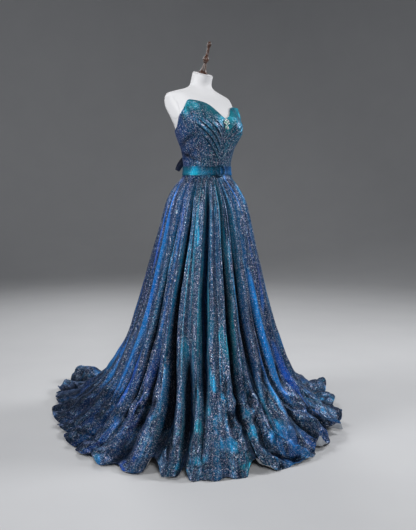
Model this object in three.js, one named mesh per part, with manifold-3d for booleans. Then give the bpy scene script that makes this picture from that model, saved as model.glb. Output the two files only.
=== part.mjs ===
// Evening dress on a dress form. Millimetres, +Z up, the front faces -Y, the dress's right is -X.
// The origin is on the floor, on the axis of the stand's pole.
import * as THREE from 'three';
import { mergeVertices } from 'three/addons/utils/BufferGeometryUtils.js';
import Module from 'manifold-3d';

const wasm = await Module();
wasm.setup();

// Driving dimensions
const waistZ = 1169;            // middle of the belt
const seamZ = 1172;             // bodice meets skirt, under the belt
const gap = 0.3;                // between pieces that are sewn or stood together
const bodiceWall = { inside: 3, outside: 5 };        // distances off the figure
const skirtWall = 1.8;
const skirtWaistOff = 4.7;      // outside of the skirt's top edge, off the figure
const belt = { low: 1150, high: 1188, inside: 6.2, outside: 8.2, columns: 48 };
const lean = { slope: 0.06, rise: 150 };             // the left shoulder stands lower
const bust = { angle: 30, z: 1350, height: 40, spread: 20, rise: 42 };
const neckTilt = { from: 1540, slope: 0.3 };         // the neck's cut face tips forward
const armPlane = { top: 171, z: 1480, slope: 0.11, least: 155 };
const armPlate = { y: 38, z: 1436, deep: 38, high: 44, thick: 4, sides: 28 };
const neckCut = { y: 30, z: 1592 };                  // middle of the neck's cut face

// The figure's sections: half width, depth in front of and behind the middle, the middle's Y,
// how square they are, and how far they reach towards the front of each shoulder
const figure = named(['z', 'wide', 'front', 'back', 'mid', 'power', 'corner'], [
  [930, 145, 100, 112, 0, 2.1, 200],
  [985, 150, 106, 116, 0, 2.1, 200],
  [1070, 142, 100, 98, 0, 2.1, 200],
  [1130, 119, 90, 85, 0, 2.1, 180],
  [1169, 108, 84, 82, 0, 2.1, 170],
  [1215, 111, 88, 84, 1, 2.1, 165],
  [1265, 124, 98, 88, 2, 2.1, 160],
  [1310, 140, 106, 94, 6, 2.2, 156],
  [1350, 150, 114, 98, 10, 2.2, 154],
  [1380, 162, 124, 96, 16, 2.3, 152],
  [1405, 176, 132, 92, 23, 2.3, 141],
  [1440, 190, 130, 80, 42, 2.4, 123],
  [1472, 190, 108, 62, 52, 2.5, 112],
  [1495, 168, 80, 52, 54, 2.5, 104],
  [1512, 120, 64, 48, 52, 2.2, 96],
  [1526, 78, 52, 47, 48, 2, 90],
  [1540, 56, 46, 45, 46, 2, 90],
  [1560, 49, 45, 46, 41, 2, 90],
  [1592, 46, 46, 45, 30, 2, 90],
]);
const corner = { angle: 52, soft: 9 };
const formInset = 1.5;          // the form lies this far inside the figure that the cloth is cut to
const formColumns = 36;
const formLevels = [930, 960, 1000, 1050, 1095, 1135, 1169, 1205, 1240, 1272, 1302, 1328, 1352,
  1378, 1404, 1430, 1456, 1476, 1492, 1506, 1520, 1534, 1560, neckCut.z];

// Turned profiles from below: radius, height
const neckCapProfile = [[0, 0], [42, 0], [43, 1.5], [41, 3], [0, 3]];
const finialProfile = [[0, 0], [21, 0], [20, 5], [15, 10], [11, 22], [7, 38], [5.5, 46], [12, 51],
  [13.5, 59], [12, 68], [6, 77], [7.5, 84], [6.5, 99], [5, 111], [8.5, 119], [9.5, 127], [6, 136],
  [0, 140]];

// Height of the bodice's top edge round the figure, 0 at the centre front
const neckline = named(['angle', 'z'], [
  [0, 1389], [7.5, 1401], [14, 1420], [21, 1440], [29, 1452], [37, 1457], [46, 1460], [56, 1459],
  [62, 1434], [72, 1402], [83, 1368], [93, 1345], [109, 1330], [130, 1322], [160, 1316], [172, 1314],
]);

// Upright seams of the bodice, as angles at the waist and at the top
const bodiceSeams = {
  side: { waist: 52, top: 56 },
  back: { waist: 108, top: 112 },
  edge: { waist: 170, top: 167 },
};
const bodiceRows = 13;
const bodiceColumns = { front: 13, side: 7, back: 6 };
const cupFlare = { angle: 56, spread: 13, stand: 17, from: 0.84 };

// Chevron pleats of each bodice front: where a pleat meets the centre seam, how high it is
const chevron = named(['z', 'height'], [
  [1201, 3.2], [1230, 4.2], [1259, 5], [1290, 5.2], [1325, 4.6],
]);
const chevronRise = 1.19;       // climb for each millimetre outwards
const chevronReach = 130;
const chevronWidth = { below: 3.5, above: 9 };       // a pleat is crisp below and soft above
const chevronGirth = 125;                            // radius that turns an angle into a distance

const modesty = { rows: [1176, 1200, 1225, 1250, 1275, 1300], from: 156, step: 6, columns: 9,
  inside: 0.9, outside: 2 };

// The skirt's outline from the floor up: half width, front, back, depth of its folds
const skirtOutline = named(['z', 'wide', 'front', 'back', 'fold'], [
  [40, 576, 558, 840, 48],
  [100, 518, 496, 722, 52],
  [190, 452, 430, 610, 55],
  [290, 396, 372, 520, 56],
  [398, 352, 332, 432, 55],
  [538, 303, 288, 382, 50],
  [677, 266, 256, 330, 45],
  [814, 232, 226, 284, 40],
  [918, 208, 206, 238, 34],
  [1000, 193, 187, 212, 28],
  [1050, 181, 167, 192, 22],
  [1090, 164, 142, 166, 15],
  [1120, 148, 114, 116, 8],
  [1148, 118, 92, 92, 0],
  [1171.7, 112, 88, 86, 0],
]);

// How far the hem reaches on the floor round the figure
const hemReach = named(['angle', 'reach'], [
  [-180, 1080], [-165, 985], [-150, 835], [-135, 722], [-120, 655], [-100, 625], [-80, 630],
  [-60, 630], [-40, 640], [-20, 618], [0, 612], [20, 600], [40, 612], [60, 650], [75, 700],
  [90, 775], [105, 840], [120, 895], [140, 965], [160, 1050], [180, 1080],
]);
// From the lowest hanging row to the hem: share of the way out, folds' depth, ridges' height
const trailRows = named(['out', 'fold', 'ridge'], [[1, 46, 14], [0.66, 48, 34], [0.3, 50, 30]]);
const hemClear = 2.4;           // top side of the cloth where it lies on the floor
const floorClear = 0.5;

// The skirt's folds: the angle of each valley at the waist, halfway and at the hem, and its
// depth there as a share of the outline's fold. A gore ends in the valleys marked as seams.
const valleys = named(['waist', 'half', 'hem', 'top', 'mid', 'low', 'seam'], [
  [-180, -180, -180, 0.9, 1, 0.9, 1],
  [-167, -168, -167, 0.5, 0.6, 0.7, 0],
  [-154, -155, -155, 0.8, 0.9, 0.8, 0],
  [-143, -145, -144, 0.5, 0.5, 0.6, 0],
  [-132, -134, -133, 0.9, 0.9, 0.8, 1],
  [-119, -123, -122, 0.6, 0.6, 0.8, 0],
  [-105, -112, -110, 0.7, 0.75, 0.7, 0],
  [-92, -98, -98, 0.5, 0.4, 0.5, 0],
  [-77, -85, -87, 0.9, 1, 0.6, 1],
  [-69, -75, -76, 0.3, 0.35, 0.7, 0],
  [-60, -67, -63, 0.8, 1, 0.95, 0],
  [-50, -53, -50, 0.5, 0.35, 0.7, 0],
  [-37, -41, -42, 1, 1.1, 0.5, 1],
  [-28, -29, -31, 0.8, 0.3, 0.4, 0],
  [-18, -18, -19, 1, 0.9, 1.6, 0],
  [-6, -6, -2, 0.8, 0.8, 0.4, 0],
  [8, 13, 15, 0.5, 0.55, 0.5, 0],
  [21, 26, 31, 0.6, 0.5, 1.2, 0],
  [36, 40, 46, 0.8, 0.7, 0.5, 1],
  [50, 54, 59, 0.5, 0.5, 0.8, 0],
  [63, 66, 70, 0.9, 0.9, 0.7, 0],
  [77, 79, 83, 0.8, 0.8, 0.8, 1],
  [90, 92, 95, 0.5, 0.6, 0.5, 0],
  [104, 106, 108, 0.85, 0.9, 0.9, 0],
  [118, 119, 121, 0.5, 0.4, 0.6, 0],
  [132, 133, 135, 0.9, 0.9, 0.8, 1],
  [147, 148, 149, 0.6, 0.6, 0.7, 0],
  [163, 164, 164, 0.8, 0.8, 0.8, 0],
]);
const skirtLevels = [40, 110, 210, 330, 470, 640, 820, 970, 1070, 1120, 1148, 1171.7];
const foldLevels = { waist: 1110, half: 600, hem: 40 };
const foldColumns = [0, 0.2, 0.5, 0.8];              // shares of the way across one fold
const valleyWidth = { hanging: 0.36, hem: 0.48 };    // share of a fold that each valley takes

const goreNames = {
  '-180': 'skirt_back_right',
  '-132': 'skirt_side_back_right',
  '-77': 'skirt_side_front_right',
  '-37': 'skirt_front',
  36: 'skirt_side_front_left',
  77: 'skirt_side_back_left',
  132: 'skirt_back_left',
};

const lacing = {
  loops: 6, low: 1198, high: 1300, foot: 6.5, tube: 1.1,
  tape: { near: 1, far: 9, inside: 5.3, outside: 6.3 },
  width: 6, offsets: [5.4, 7.4], thick: 0.8,
};
const bow = {
  z: 1232, off: 17, width: 24, thick: 1.4, steps: 20, open: 13,
  knot: { wide: 8.5, deep: 5, high: 10.5 },
  loops: [
    { hand: -1, word: 'right', wide: 76, back: 30, fall: 66 },
    { hand: 1, word: 'left', wide: 70, back: 26, fall: 58 },
  ],
};
const bowTails = {
  width: 16, thick: 1.2, below: 12, apart: 9.5, offSkirt: 14, steps: 11,
  sides: [{ hand: -1, word: 'right', wide: 38, long: 250 }, { hand: 1, word: 'left', wide: 30, long: 290 }],
};
const buckle = { outer: 27, inner: 18.5, inside: 9.2, outside: 12.6, bar: 5, columns: 24 };
const brooch = { z: 1366, wide: 17, tall: 26, inside: 7, outside: 11, lobes: 5 };
const stand = { pole: 16, base: 190, thick: 14, collar: 32, collarHigh: 46 };

const cloth = { color: 0x24465f, roughness: 0.42, metalness: 0.3 };
const satin = { color: 0x1a6f86, roughness: 0.3, metalness: 0.2 };
const ribbon = { color: 0x141c33, roughness: 0.35, metalness: 0.1 };
const jersey = { color: 0xe9e9ec, roughness: 0.75, metalness: 0 };
const wood = { color: 0x3a241a, roughness: 0.4, metalness: 0 };
const steel = { color: 0x8b8d90, roughness: 0.35, metalness: 0.9 };
const crystal = { color: 0xbfe3d4, roughness: 0.1, metalness: 0.2 };

// Helpers

function named(columns, rows) {
  return rows.map((row) => Object.fromEntries(columns.map((name, i) => [name, row[i]])));
}

function clamp(value, low, high) {
  return Math.min(high, Math.max(low, value));
}

function smooth(share) {
  const t = clamp(share, 0, 1);
  return t * t * (3 - 2 * t);
}

function bell(distance) {
  return Math.exp(-0.5 * distance * distance);
}

function lerp(a, b, t) {
  return a + (b - a) * t;
}

function radians(degrees) {
  return (degrees * Math.PI) / 180;
}

// One column of a table, on a smooth curve through its rows, whose key column rises
function read(table, key, at, column) {
  const last = table.length - 1;
  let i = 0;
  while (i < last - 1 && at > table[i + 1][key]) i += 1;
  const slope = (k) => {
    const a = table[Math.max(0, k - 1)];
    const b = table[Math.min(last, k + 1)];
    return (b[column] - a[column]) / (b[key] - a[key]);
  };
  const low = table[i];
  const high = table[i + 1];
  const span = high[key] - low[key];
  const t = clamp((at - low[key]) / span, 0, 1);
  const fromLow = t * t * (3 - 2 * t);
  const bendLow = (t - 2 * t * t + t * t * t) * span * slope(i);
  const bendHigh = (t * t * t - t * t) * span * slope(i + 1);
  return lerp(low[column], high[column], fromLow) + bendLow + bendHigh;
}

function count(n) {
  return Array.from({ length: n }, (_, i) => i);
}

// Triangles of a wall between two grids of points, rows from below, columns anticlockwise.
// Both faces are cut along the same diagonals, so a thin wall never crosses itself.
function wall(outer, inner, closed = false) {
  const rows = outer.length;
  const columns = outer[0].length;
  const positions = [...outer.flat(), ...inner.flat()].flatMap((p) => [p.x, p.y, p.z]);
  const index = [];
  const out = (r, c) => r * columns + (c % columns);
  const inn = (r, c) => rows * columns + out(r, c);
  const quad = (a, b, c, d) => index.push(a, b, c, a, c, d);
  const lastColumn = closed ? columns : columns - 1;
  for (let r = 0; r < rows - 1; r += 1) {
    for (let c = 0; c < lastColumn; c += 1) {
      quad(out(r, c), out(r, c + 1), out(r + 1, c + 1), out(r + 1, c));
      quad(inn(r, c), inn(r + 1, c), inn(r + 1, c + 1), inn(r, c + 1));
    }
  }
  for (let c = 0; c < lastColumn; c += 1) {
    quad(inn(0, c), inn(0, c + 1), out(0, c + 1), out(0, c));
    quad(out(rows - 1, c), out(rows - 1, c + 1), inn(rows - 1, c + 1), inn(rows - 1, c));
  }
  if (!closed) {
    const end = columns - 1;
    for (let r = 0; r < rows - 1; r += 1) {
      quad(inn(r, 0), out(r, 0), out(r + 1, 0), inn(r + 1, 0));
      quad(out(r, end), inn(r, end), inn(r + 1, end), out(r + 1, end));
    }
  }
  const geometry = new THREE.BufferGeometry();
  geometry.setAttribute('position', new THREE.Float32BufferAttribute(positions, 3));
  geometry.setIndex(index);
  return geometry;
}

// A solid whose skin is a closed grid of rings, from below, with flat ends
function barrel(rings) {
  const columns = rings[0].length;
  const middles = [rings[0], rings.at(-1)].map(
    (ring) => ring.reduce((sum, p) => sum.add(p), new THREE.Vector3()).divideScalar(columns));
  const positions = [...rings.flat(), ...middles].flatMap((p) => [p.x, p.y, p.z]);
  const at = (r, c) => r * columns + (c % columns);
  const index = [];
  const bottom = rings.length * columns;
  for (let c = 0; c < columns; c += 1) {
    for (let r = 0; r < rings.length - 1; r += 1) {
      index.push(at(r, c), at(r, c + 1), at(r + 1, c + 1));
      index.push(at(r, c), at(r + 1, c + 1), at(r + 1, c));
    }
    index.push(at(0, c + 1), at(0, c), bottom);
    index.push(at(rings.length - 1, c), at(rings.length - 1, c + 1), bottom + 1);
  }
  const geometry = new THREE.BufferGeometry();
  geometry.setAttribute('position', new THREE.Float32BufferAttribute(positions, 3));
  geometry.setIndex(index);
  return geometry;
}

// A round solid about the Z axis from a profile of radius and height
function turned(profile, sides) {
  const points = profile.map(([r, z]) => new THREE.Vector2(r, z));
  return new THREE.LatheGeometry(points, sides).rotateX(Math.PI / 2);
}

function part(name, geometry, look) {
  const mesh = new THREE.Mesh(geometry, new THREE.MeshStandardMaterial(look));
  mesh.name = name;
  return mesh;
}

function toManifold(geometry) {
  const plain = geometry.clone();
  plain.deleteAttribute('normal');
  plain.deleteAttribute('uv');
  const merged = mergeVertices(plain);
  return new wasm.Manifold(new wasm.Mesh({
    numProp: 3,
    vertProperties: new Float32Array(merged.attributes.position.array),
    triVerts: new Uint32Array(merged.index.array),
  }));
}

function fromManifold(solid) {
  const mesh = solid.getMesh();
  const geometry = new THREE.BufferGeometry();
  geometry.setAttribute('position', new THREE.BufferAttribute(mesh.vertProperties, 3));
  geometry.setIndex(new THREE.BufferAttribute(mesh.triVerts, 1));
  return geometry;
}

// The figure

function oval(angle, wide, front, back, power) {
  const across = Math.abs(Math.sin(radians(angle))) / wide;
  const along = Math.cos(radians(angle));
  const deep = Math.abs(along) / (along > 0 ? front : back);
  return (across ** power + deep ** power) ** (-1 / power);
}

function figureRadius(angle, z) {
  const column = (name) => read(figure, 'z', z, name);
  const plain = oval(angle, column('wide'), column('front'), column('back'), column('power'));
  const lift = bust.height * bell((z - bust.z) / bust.rise);
  const turned = Math.abs(angle > 180 ? angle - 360 : angle);
  const full = plain + lift * (bell((turned - bust.angle) / bust.spread)
    + bell((turned + bust.angle) / bust.spread));
  const off = Math.cos(radians(turned - corner.angle));
  if (off < 0.2) return full;
  const most = (column('corner') + Math.sin(radians(corner.angle - 14)) * column('mid')) / off;
  return full - corner.soft * Math.log(1 + Math.exp((full - most) / corner.soft));
}

// A point off the figure, at an angle and height
function offFigure(angle, z, off) {
  const radius = figureRadius(angle, z) + off;
  const x = radius * Math.sin(radians(angle));
  const y = read(figure, 'z', z, 'mid') - radius * Math.cos(radians(angle));
  const drop = lean.slope * x * smooth((z - waistZ) / lean.rise);
  return new THREE.Vector3(x, y, z - drop);
}

function buildForm() {
  const rings = formLevels.map((z) => count(formColumns).map((i) => {
    const p = offFigure((360 * i) / formColumns, z, -formInset);
    const side = Math.max(armPlane.least, armPlane.top - armPlane.slope * Math.abs(armPlane.z - z));
    p.x = clamp(p.x, -side, side);
    const mid = read(figure, 'z', z, 'mid');
    const tip = smooth((z - neckTilt.from) / (neckCut.z - neckTilt.from));
    p.z += neckTilt.slope * (p.y - mid) * tip;
    return p;
  }));
  return part('form_torso', barrel(rings), jersey);
}

// An oval plate on the cut face of each shoulder
function buildArmPlate(side, name) {
  const { deep, high, thick, sides } = armPlate;
  const ring = (off, size) => count(sides).map((i) => {
    const turn = radians((360 * i) / sides) * side;
    const y = armPlate.y + deep * size * Math.cos(turn);
    const z = armPlate.z + high * size * Math.sin(turn);
    const x = side * (armPlane.top - armPlane.slope * (armPlane.z - z) + off);
    const drop = lean.slope * x * smooth((z - waistZ) / lean.rise);
    return new THREE.Vector3(x, y, z - drop);
  });
  return part(name, barrel([ring(gap, 1), ring(thick - 1, 1), ring(thick, 0.9)]), jersey);
}

function buildNeckTop() {
  const tilted = new THREE.Group();
  tilted.position.set(0, neckCut.y, neckCut.z + gap);
  const upright = new THREE.Vector3(0, 0, 1);
  const leaning = new THREE.Vector3(lean.slope, -neckTilt.slope, 1).normalize();
  tilted.quaternion.setFromUnitVectors(upright, leaning);
  const capHigh = neckCapProfile.at(-1)[1];
  tilted.add(part('neck_cap', turned(neckCapProfile, 24), jersey));
  tilted.add(part('finial', turned(finialProfile, 14).translate(0, 0, capHigh + gap), wood));
  return tilted;
}

function buildStand() {
  const group = new THREE.Group();
  const { base, thick, collar, collarHigh, pole } = stand;
  group.add(part('stand_base', turned([[0, 0], [base, 0], [base, thick - 4], [base - 4, thick],
    [0, thick]], 40), steel));
  const low = thick + gap;
  group.add(part('stand_collar', turned([[pole + gap, low], [collar, low], [collar, low + 6],
    [pole + 6, low + collarHigh], [pole + gap, low + collarHigh], [pole + gap, low]], 24), steel));
  const high = formLevels[0] - gap;
  group.add(part('stand_pole', turned([[0, low], [pole, low], [pole, high], [0, high]], 20), steel));
  return group;
}

// The bodice

function topEdge(angle) {
  return read(neckline, 'angle', Math.abs(angle), 'z');
}

// Outward height of the chevron pleats: each climbs away from the centre, steeper below
function pleatHeight(angle, z, top) {
  const away = Math.abs(radians(angle)) * chevronGirth;
  const line = z - chevronRise * away;
  let height = 0;
  chevron.forEach((pleat) => {
    const across = line - pleat.z;
    const width = across < 0 ? chevronWidth.below : chevronWidth.above;
    height = Math.max(height, pleat.height * bell(across / width));
  });
  const fade = smooth((away - 6) / 18) * smooth((chevronReach - away) / 45);
  const edges = smooth((top - 24 - z) / 22) * smooth((z - 1192) / 24);
  return height * fade * edges;
}

function seamAngle(seam, up) {
  return lerp(seam.waist, seam.top, up);
}

// Rows and columns of the whole bodice, from the right back edge round to the left one
function bodiceGrid() {
  const { side, back, edge } = bodiceSeams;
  const stretch = (from, to, columns) => count(columns).map((i) => [from, to, i / columns]);
  const centre = { waist: 0, top: 0 };
  const half = [...stretch(centre, side, bodiceColumns.front),
    ...stretch(side, back, bodiceColumns.side), ...stretch(back, edge, bodiceColumns.back),
    [back, edge, 1]];
  const mirrored = [...half.slice(1).reverse().map((h) => ({ hand: -1, place: h })),
    ...half.map((h) => ({ hand: 1, place: h }))];
  const rows = { outer: [], inner: [] };
  for (let r = 0; r <= bodiceRows; r += 1) {
    const up = r / bodiceRows;
    const points = mirrored.map(({ hand, place: [from, to, share] }) => {
      const angle = hand * lerp(seamAngle(from, up), seamAngle(to, up), share);
      const top = topEdge(angle);
      const z = lerp(seamZ, top, up);
      const away = bell((Math.abs(angle) - cupFlare.angle) / cupFlare.spread);
      const stands = cupFlare.stand * away * smooth((up - cupFlare.from) / (1 - cupFlare.from));
      const pleat = Math.abs(angle) < seamAngle(side, up) ? pleatHeight(angle, z, top) : 0;
      return [offFigure(angle, z, bodiceWall.inside + stands),
        offFigure(angle, z, bodiceWall.outside + stands + pleat)];
    });
    rows.inner.push(points.map((p) => p[0]));
    rows.outer.push(points.map((p) => p[1]));
  }
  return rows;
}

// One panel of a grid, its end columns drawn in by half the gap along the circle
function panel(grid, first, last) {
  const total = grid.outer[0].length;
  const take = (rows) => rows.map((row) => count(last - first + 1).map((i) => {
    const p = row[(first + i) % total].clone();
    const inwards = i === 0 ? 1 : i === last - first ? -1 : 0;
    const round = Math.hypot(p.x, p.y);
    p.x += (-p.y / round) * inwards * (gap / 2);
    p.y += (p.x / round) * inwards * (gap / 2);
    return p;
  }));
  return wall(take(grid.outer), take(grid.inner));
}

function buildBodice() {
  const group = new THREE.Group();
  const grid = bodiceGrid();
  const { front, side, back } = bodiceColumns;
  const names = ['bodice_back_right', 'bodice_side_right', 'bodice_front_right',
    'bodice_front_left', 'bodice_side_left', 'bodice_back_left'];
  let column = 0;
  [back, side, front, front, side, back].forEach((columns, i) => {
    group.add(part(names[i], panel(grid, column, column + columns), cloth));
    column += columns;
  });
  return group;
}

function buildModestyPanel() {
  const { rows, from, step, columns, inside, outside } = modesty;
  const grid = (off) => rows.map((z) => count(columns).map((i) => offFigure(from + step * i, z, off)));
  return part('modesty_panel', wall(grid(outside), grid(inside)), ribbon);
}

// The back lacing

// A point near a back edge: along is the distance from the edge towards the centre back
function nearEdge(hand, along, z, off) {
  const up = (z - seamZ) / (topEdge(165) - seamZ);
  const edge = seamAngle(bodiceSeams.edge, up);
  const shift = (along / figureRadius(edge, z)) * (180 / Math.PI);
  return offFigure(hand * (edge + shift), z, off);
}

function loopHeights() {
  const { loops, low, high } = lacing;
  return count(loops).map((i) => lerp(low, high, i / (loops - 1)));
}

// The round cord of one loop, from the tape out over the ribbon and back
function loopCord(hand, z) {
  const { foot, tube } = lacing;
  const route = [[-4, foot, 5.9], [1, foot - 0.2, 9.4], [5, 4, 10.2], [6.6, 0, 10.4], [5, -4, 10.2],
    [1, 0.2 - foot, 9.4], [-4, -foot, 5.9]];
  const points = route.map(([along, up, off]) => nearEdge(hand, along, z + up, off));
  const curve = new THREE.CatmullRomCurve3(points);
  const round = new THREE.Shape(count(4).map((i) => new THREE.Vector2(
    tube * Math.cos(radians(90 * i)), tube * Math.sin(radians(90 * i)))));
  return new THREE.ExtrudeGeometry(round, { extrudePath: curve, steps: 6, bevelEnabled: false });
}

function buildLoopTape(hand, name) {
  const { tape } = lacing;
  const rows = [seamZ + 18, 1220, 1250, 1280, 1306];
  const along = hand > 0 ? [-tape.far, -tape.near] : [-tape.near, -tape.far];
  const grid = (off) => rows.map((z) => along.map((a) => nearEdge(hand, a, z, off)));
  let solid = toManifold(wall(grid(tape.outside), grid(tape.inside)));
  loopHeights().forEach((z) => {
    solid = solid.add(toManifold(loopCord(hand, z)));
  });
  return part(name, fromManifold(solid), ribbon);
}

// A ribbon as a thin solid along a route, with the way that its face looks at each point
function ribbonSolid(route, facing, width, thick) {
  const outer = [[], []];
  const inner = [[], []];
  route.forEach((p, i) => {
    const ahead = route[Math.min(i + 1, route.length - 1)].clone()
      .sub(route[Math.max(i - 1, 0)]).normalize();
    const side = facing(p, i).clone().cross(ahead).normalize();
    const out = ahead.clone().cross(side).normalize();
    [-0.5, 0.5].forEach((w, k) => {
      const edge = p.clone().addScaledVector(side, w * width);
      outer[k].push(edge.clone().addScaledVector(out, thick / 2));
      inner[k].push(edge.clone().addScaledVector(out, -thick / 2));
    });
  });
  return wall(outer, inner);
}

function buildLace(start, name, off) {
  const heights = loopHeights();
  const reach = 180 - bodiceSeams.edge.waist - 1.5;
  const steps = 4;
  const route = heights.slice(1).flatMap((z, i) => {
    const hand = i % 2 === 0 ? start : -start;
    return count(i === heights.length - 2 ? steps + 1 : steps).map((k) => {
      const share = k / steps;
      const angle = 180 - hand * lerp(reach, -reach, share);
      return offFigure(angle, lerp(heights[i], z, share), off + lacing.thick / 2);
    });
  });
  const facing = (p) => new THREE.Vector3(p.x, p.y, 0).normalize();
  return part(name, ribbonSolid(route, facing, lacing.width, lacing.thick), ribbon);
}

// The bow at the top of the lacing's free ends

// One loop's route: out to the side and back, sagging as it goes
function bowRoute(root, { hand, wide, back, fall }) {
  const near = 10;
  return count(bow.steps).map((i) => {
    const turn = (2 * Math.PI * i) / bow.steps;
    const reach = (1 - Math.cos(turn)) / 2;
    const open = bow.open * Math.sin(turn) * lerp(0.35, 1, reach);
    return new THREE.Vector3(
      root.x + hand * lerp(near, wide, reach),
      root.y + 2 + back * reach ** 1.3 + open * 0.75,
      root.z + 6 * reach - fall * reach ** 2.2 + open * 0.5);
  });
}

function buildBowLoop(root, loop) {
  const route = bowRoute(root, loop);
  const side = new THREE.Vector3(-loop.hand * 0.35, -0.35, 1).normalize();
  const edges = (off) => {
    const rings = [[], []];
    route.forEach((p, i) => {
      const next = route[(i + 1) % bow.steps];
      const before = route[(i + bow.steps - 1) % bow.steps];
      const out = next.clone().sub(before).normalize().cross(side).normalize();
      const reach = (1 - Math.cos((2 * Math.PI * i) / bow.steps)) / 2;
      const width = bow.width * lerp(0.45, 1, smooth(reach * 3));
      [-0.5, 0.5].forEach((w, k) => rings[k].push(
        p.clone().addScaledVector(side, w * width).addScaledVector(out, off)));
    });
    return rings;
  };
  const solid = wall(edges(bow.thick / 2), edges(-bow.thick / 2), true);
  return part(`bow_loop_${loop.word}`, solid, ribbon);
}

// One free end, hanging clear of the skirt's back
function buildBowTail(root, { hand, word, wide, long }) {
  const { width, thick, below, apart, offSkirt, steps } = bowTails;
  const route = count(steps + 1).map((i) => {
    const t = i / steps;
    const z = root.z - below - long * t;
    const skirt = read(skirtOutline, 'z', Math.min(z, belt.low), 'back') + offSkirt;
    const y = Math.max(root.y + 3, skirt) + 4 * Math.sin(t * 9);
    return new THREE.Vector3(hand * (apart + wide * t ** 0.8), y, z);
  });
  const facing = (p, i) => new THREE.Vector3(0.5 * Math.sin(i * 0.6), 1, 0);
  return part(`bow_tail_${word}`, ribbonSolid(route, facing, width, thick), ribbon);
}

function buildBow() {
  const group = new THREE.Group();
  const root = offFigure(180, bow.z, bow.off);
  const { wide, deep, high } = bow.knot;
  const knot = new THREE.SphereGeometry(1, 16, 10).scale(wide, deep, high)
    .translate(root.x, root.y + 1, root.z);
  group.add(part('bow_knot', knot, ribbon));
  bow.loops.forEach((loop) => group.add(buildBowLoop(root, loop)));
  bowTails.sides.forEach((tail) => group.add(buildBowTail(root, tail)));
  return group;
}

// The belt and what is on it

function buildBelt() {
  const rows = [belt.low, waistZ, belt.high];
  const grid = (off) => rows.map((z) => count(belt.columns).map(
    (i) => offFigure((360 * i) / belt.columns, z, off)));
  return part('belt', wall(grid(belt.outside), grid(belt.inside), true), satin);
}

// A point on the front, by its distance from the centre line
function onFront(across, z, off) {
  const angle = (across / (figureRadius(0, z) + off)) * (180 / Math.PI);
  return offFigure(angle, z, off);
}

function buildBuckle() {
  const group = new THREE.Group();
  const { outer, inner, inside, outside, columns } = buckle;
  const ring = (radius, off) => count(columns).map((i) => {
    const turn = radians((360 * i) / columns);
    return onFront(radius * Math.sin(turn), waistZ - radius * Math.cos(turn), off);
  });
  const crown = (outer + inner) / 2;
  const front = [ring(outer, outside - 1), ring(crown, outside), ring(inner, outside - 1)];
  const back = [outer, crown, inner].map((radius) => ring(radius, inside));
  group.add(part('buckle_ring', wall(front, back, true), satin));
  const bar = (off) => [-1, -0.33, 0.33, 1].map((share) => [-0.5, 0.5].map(
    (side) => onFront(side * buckle.bar, waistZ + share * (inner - 2 * gap), off)));
  group.add(part('buckle_bar', wall(bar(outside - 1.2), bar(inside)), satin));
  return group;
}

function buildBrooch() {
  const { z, wide, tall, inside, outside, lobes } = brooch;
  const ring = (size, off) => count(lobes * 4).map((i) => {
    const turn = radians((90 * i) / lobes);
    const petal = size * (1 + 0.14 * Math.cos(lobes * turn));
    return onFront(wide * petal * Math.sin(turn), z - tall * petal * Math.cos(turn), off);
  });
  const rings = [ring(0.15, inside), ring(0.55, inside), ring(1, inside), ring(1, inside + 1.4),
    ring(0.55, outside - 0.6), ring(0.15, outside)];
  return part('brooch', barrel(rings), crystal);
}

// The skirt

function valleyAt(valley, names, z) {
  const [top, mid, low] = names.map((name) => valley[name]);
  const { waist, half, hem } = foldLevels;
  return z > half ? lerp(mid, top, smooth((z - half) / (waist - half)))
    : lerp(low, mid, smooth((z - hem) / (half - hem)));
}

// A fold is counted from its first valley; a share of it is the way across to the next
function foldShape(place, z) {
  const first = Math.floor(place) % valleys.length;
  const share = place - Math.floor(place);
  const next = (first + 1) % valleys.length;
  const angles = [first, next].map((i) => valleyAt(valleys[i], ['waist', 'half', 'hem'], z));
  if (next === 0) angles[1] += 360;
  const depths = [first, next].map((i) => valleyAt(valleys[i], ['top', 'mid', 'low'], z));
  const width = lerp(valleyWidth.hem, valleyWidth.hanging, smooth(z / 500));
  const dip = (away) => (away < width ? (1 - (away / width) ** 2) ** 2 : 0);
  return {
    angle: lerp(angles[0], angles[1], share),
    dip: depths[0] * dip(share) + depths[1] * dip(1 - share),
  };
}

// A point on the outside of the hanging cloth
function skirtPoint(place, z) {
  const { angle, dip } = foldShape(place, z);
  const column = (name) => read(skirtOutline, 'z', z, name);
  const free = oval(angle, column('wide'), column('front'), column('back'), 2);
  const tight = figureRadius(angle, z) + skirtWaistOff;
  const held = smooth((z - 1120) / 28);
  const radius = lerp(free - dip * column('fold'), tight, held);
  return new THREE.Vector3(radius * Math.sin(radians(angle)), -radius * Math.cos(radians(angle)), z);
}

// A point on the stretch that runs out over the floor
function trailPoint(place, row) {
  const lowest = skirtOutline[0].z;
  const { angle, dip } = foldShape(place, 0);
  const from = skirtPoint(place, lowest);
  const turned = angle > 180 ? angle - 360 : angle;
  const start = Math.hypot(from.x, from.y);
  const reach = read(hemReach, 'angle', turned, 'reach') - dip * row.fold;
  const trail = reach - start;
  const radius = lerp(start, reach, row.out);
  const slack = smooth((trail - 60) / 160);
  const crest = clamp(1 - dip, 0, 1) * row.ridge * lerp(0.08, 1, slack);
  const z = hemClear + (lowest - hemClear) * (1 - row.out) ** lerp(1.2, 2.4, slack) + crest;
  const way = radians(lerp(foldShape(place, lowest).angle, angle, row.out));
  return new THREE.Vector3(radius * Math.sin(way), -radius * Math.cos(way), z);
}

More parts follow.
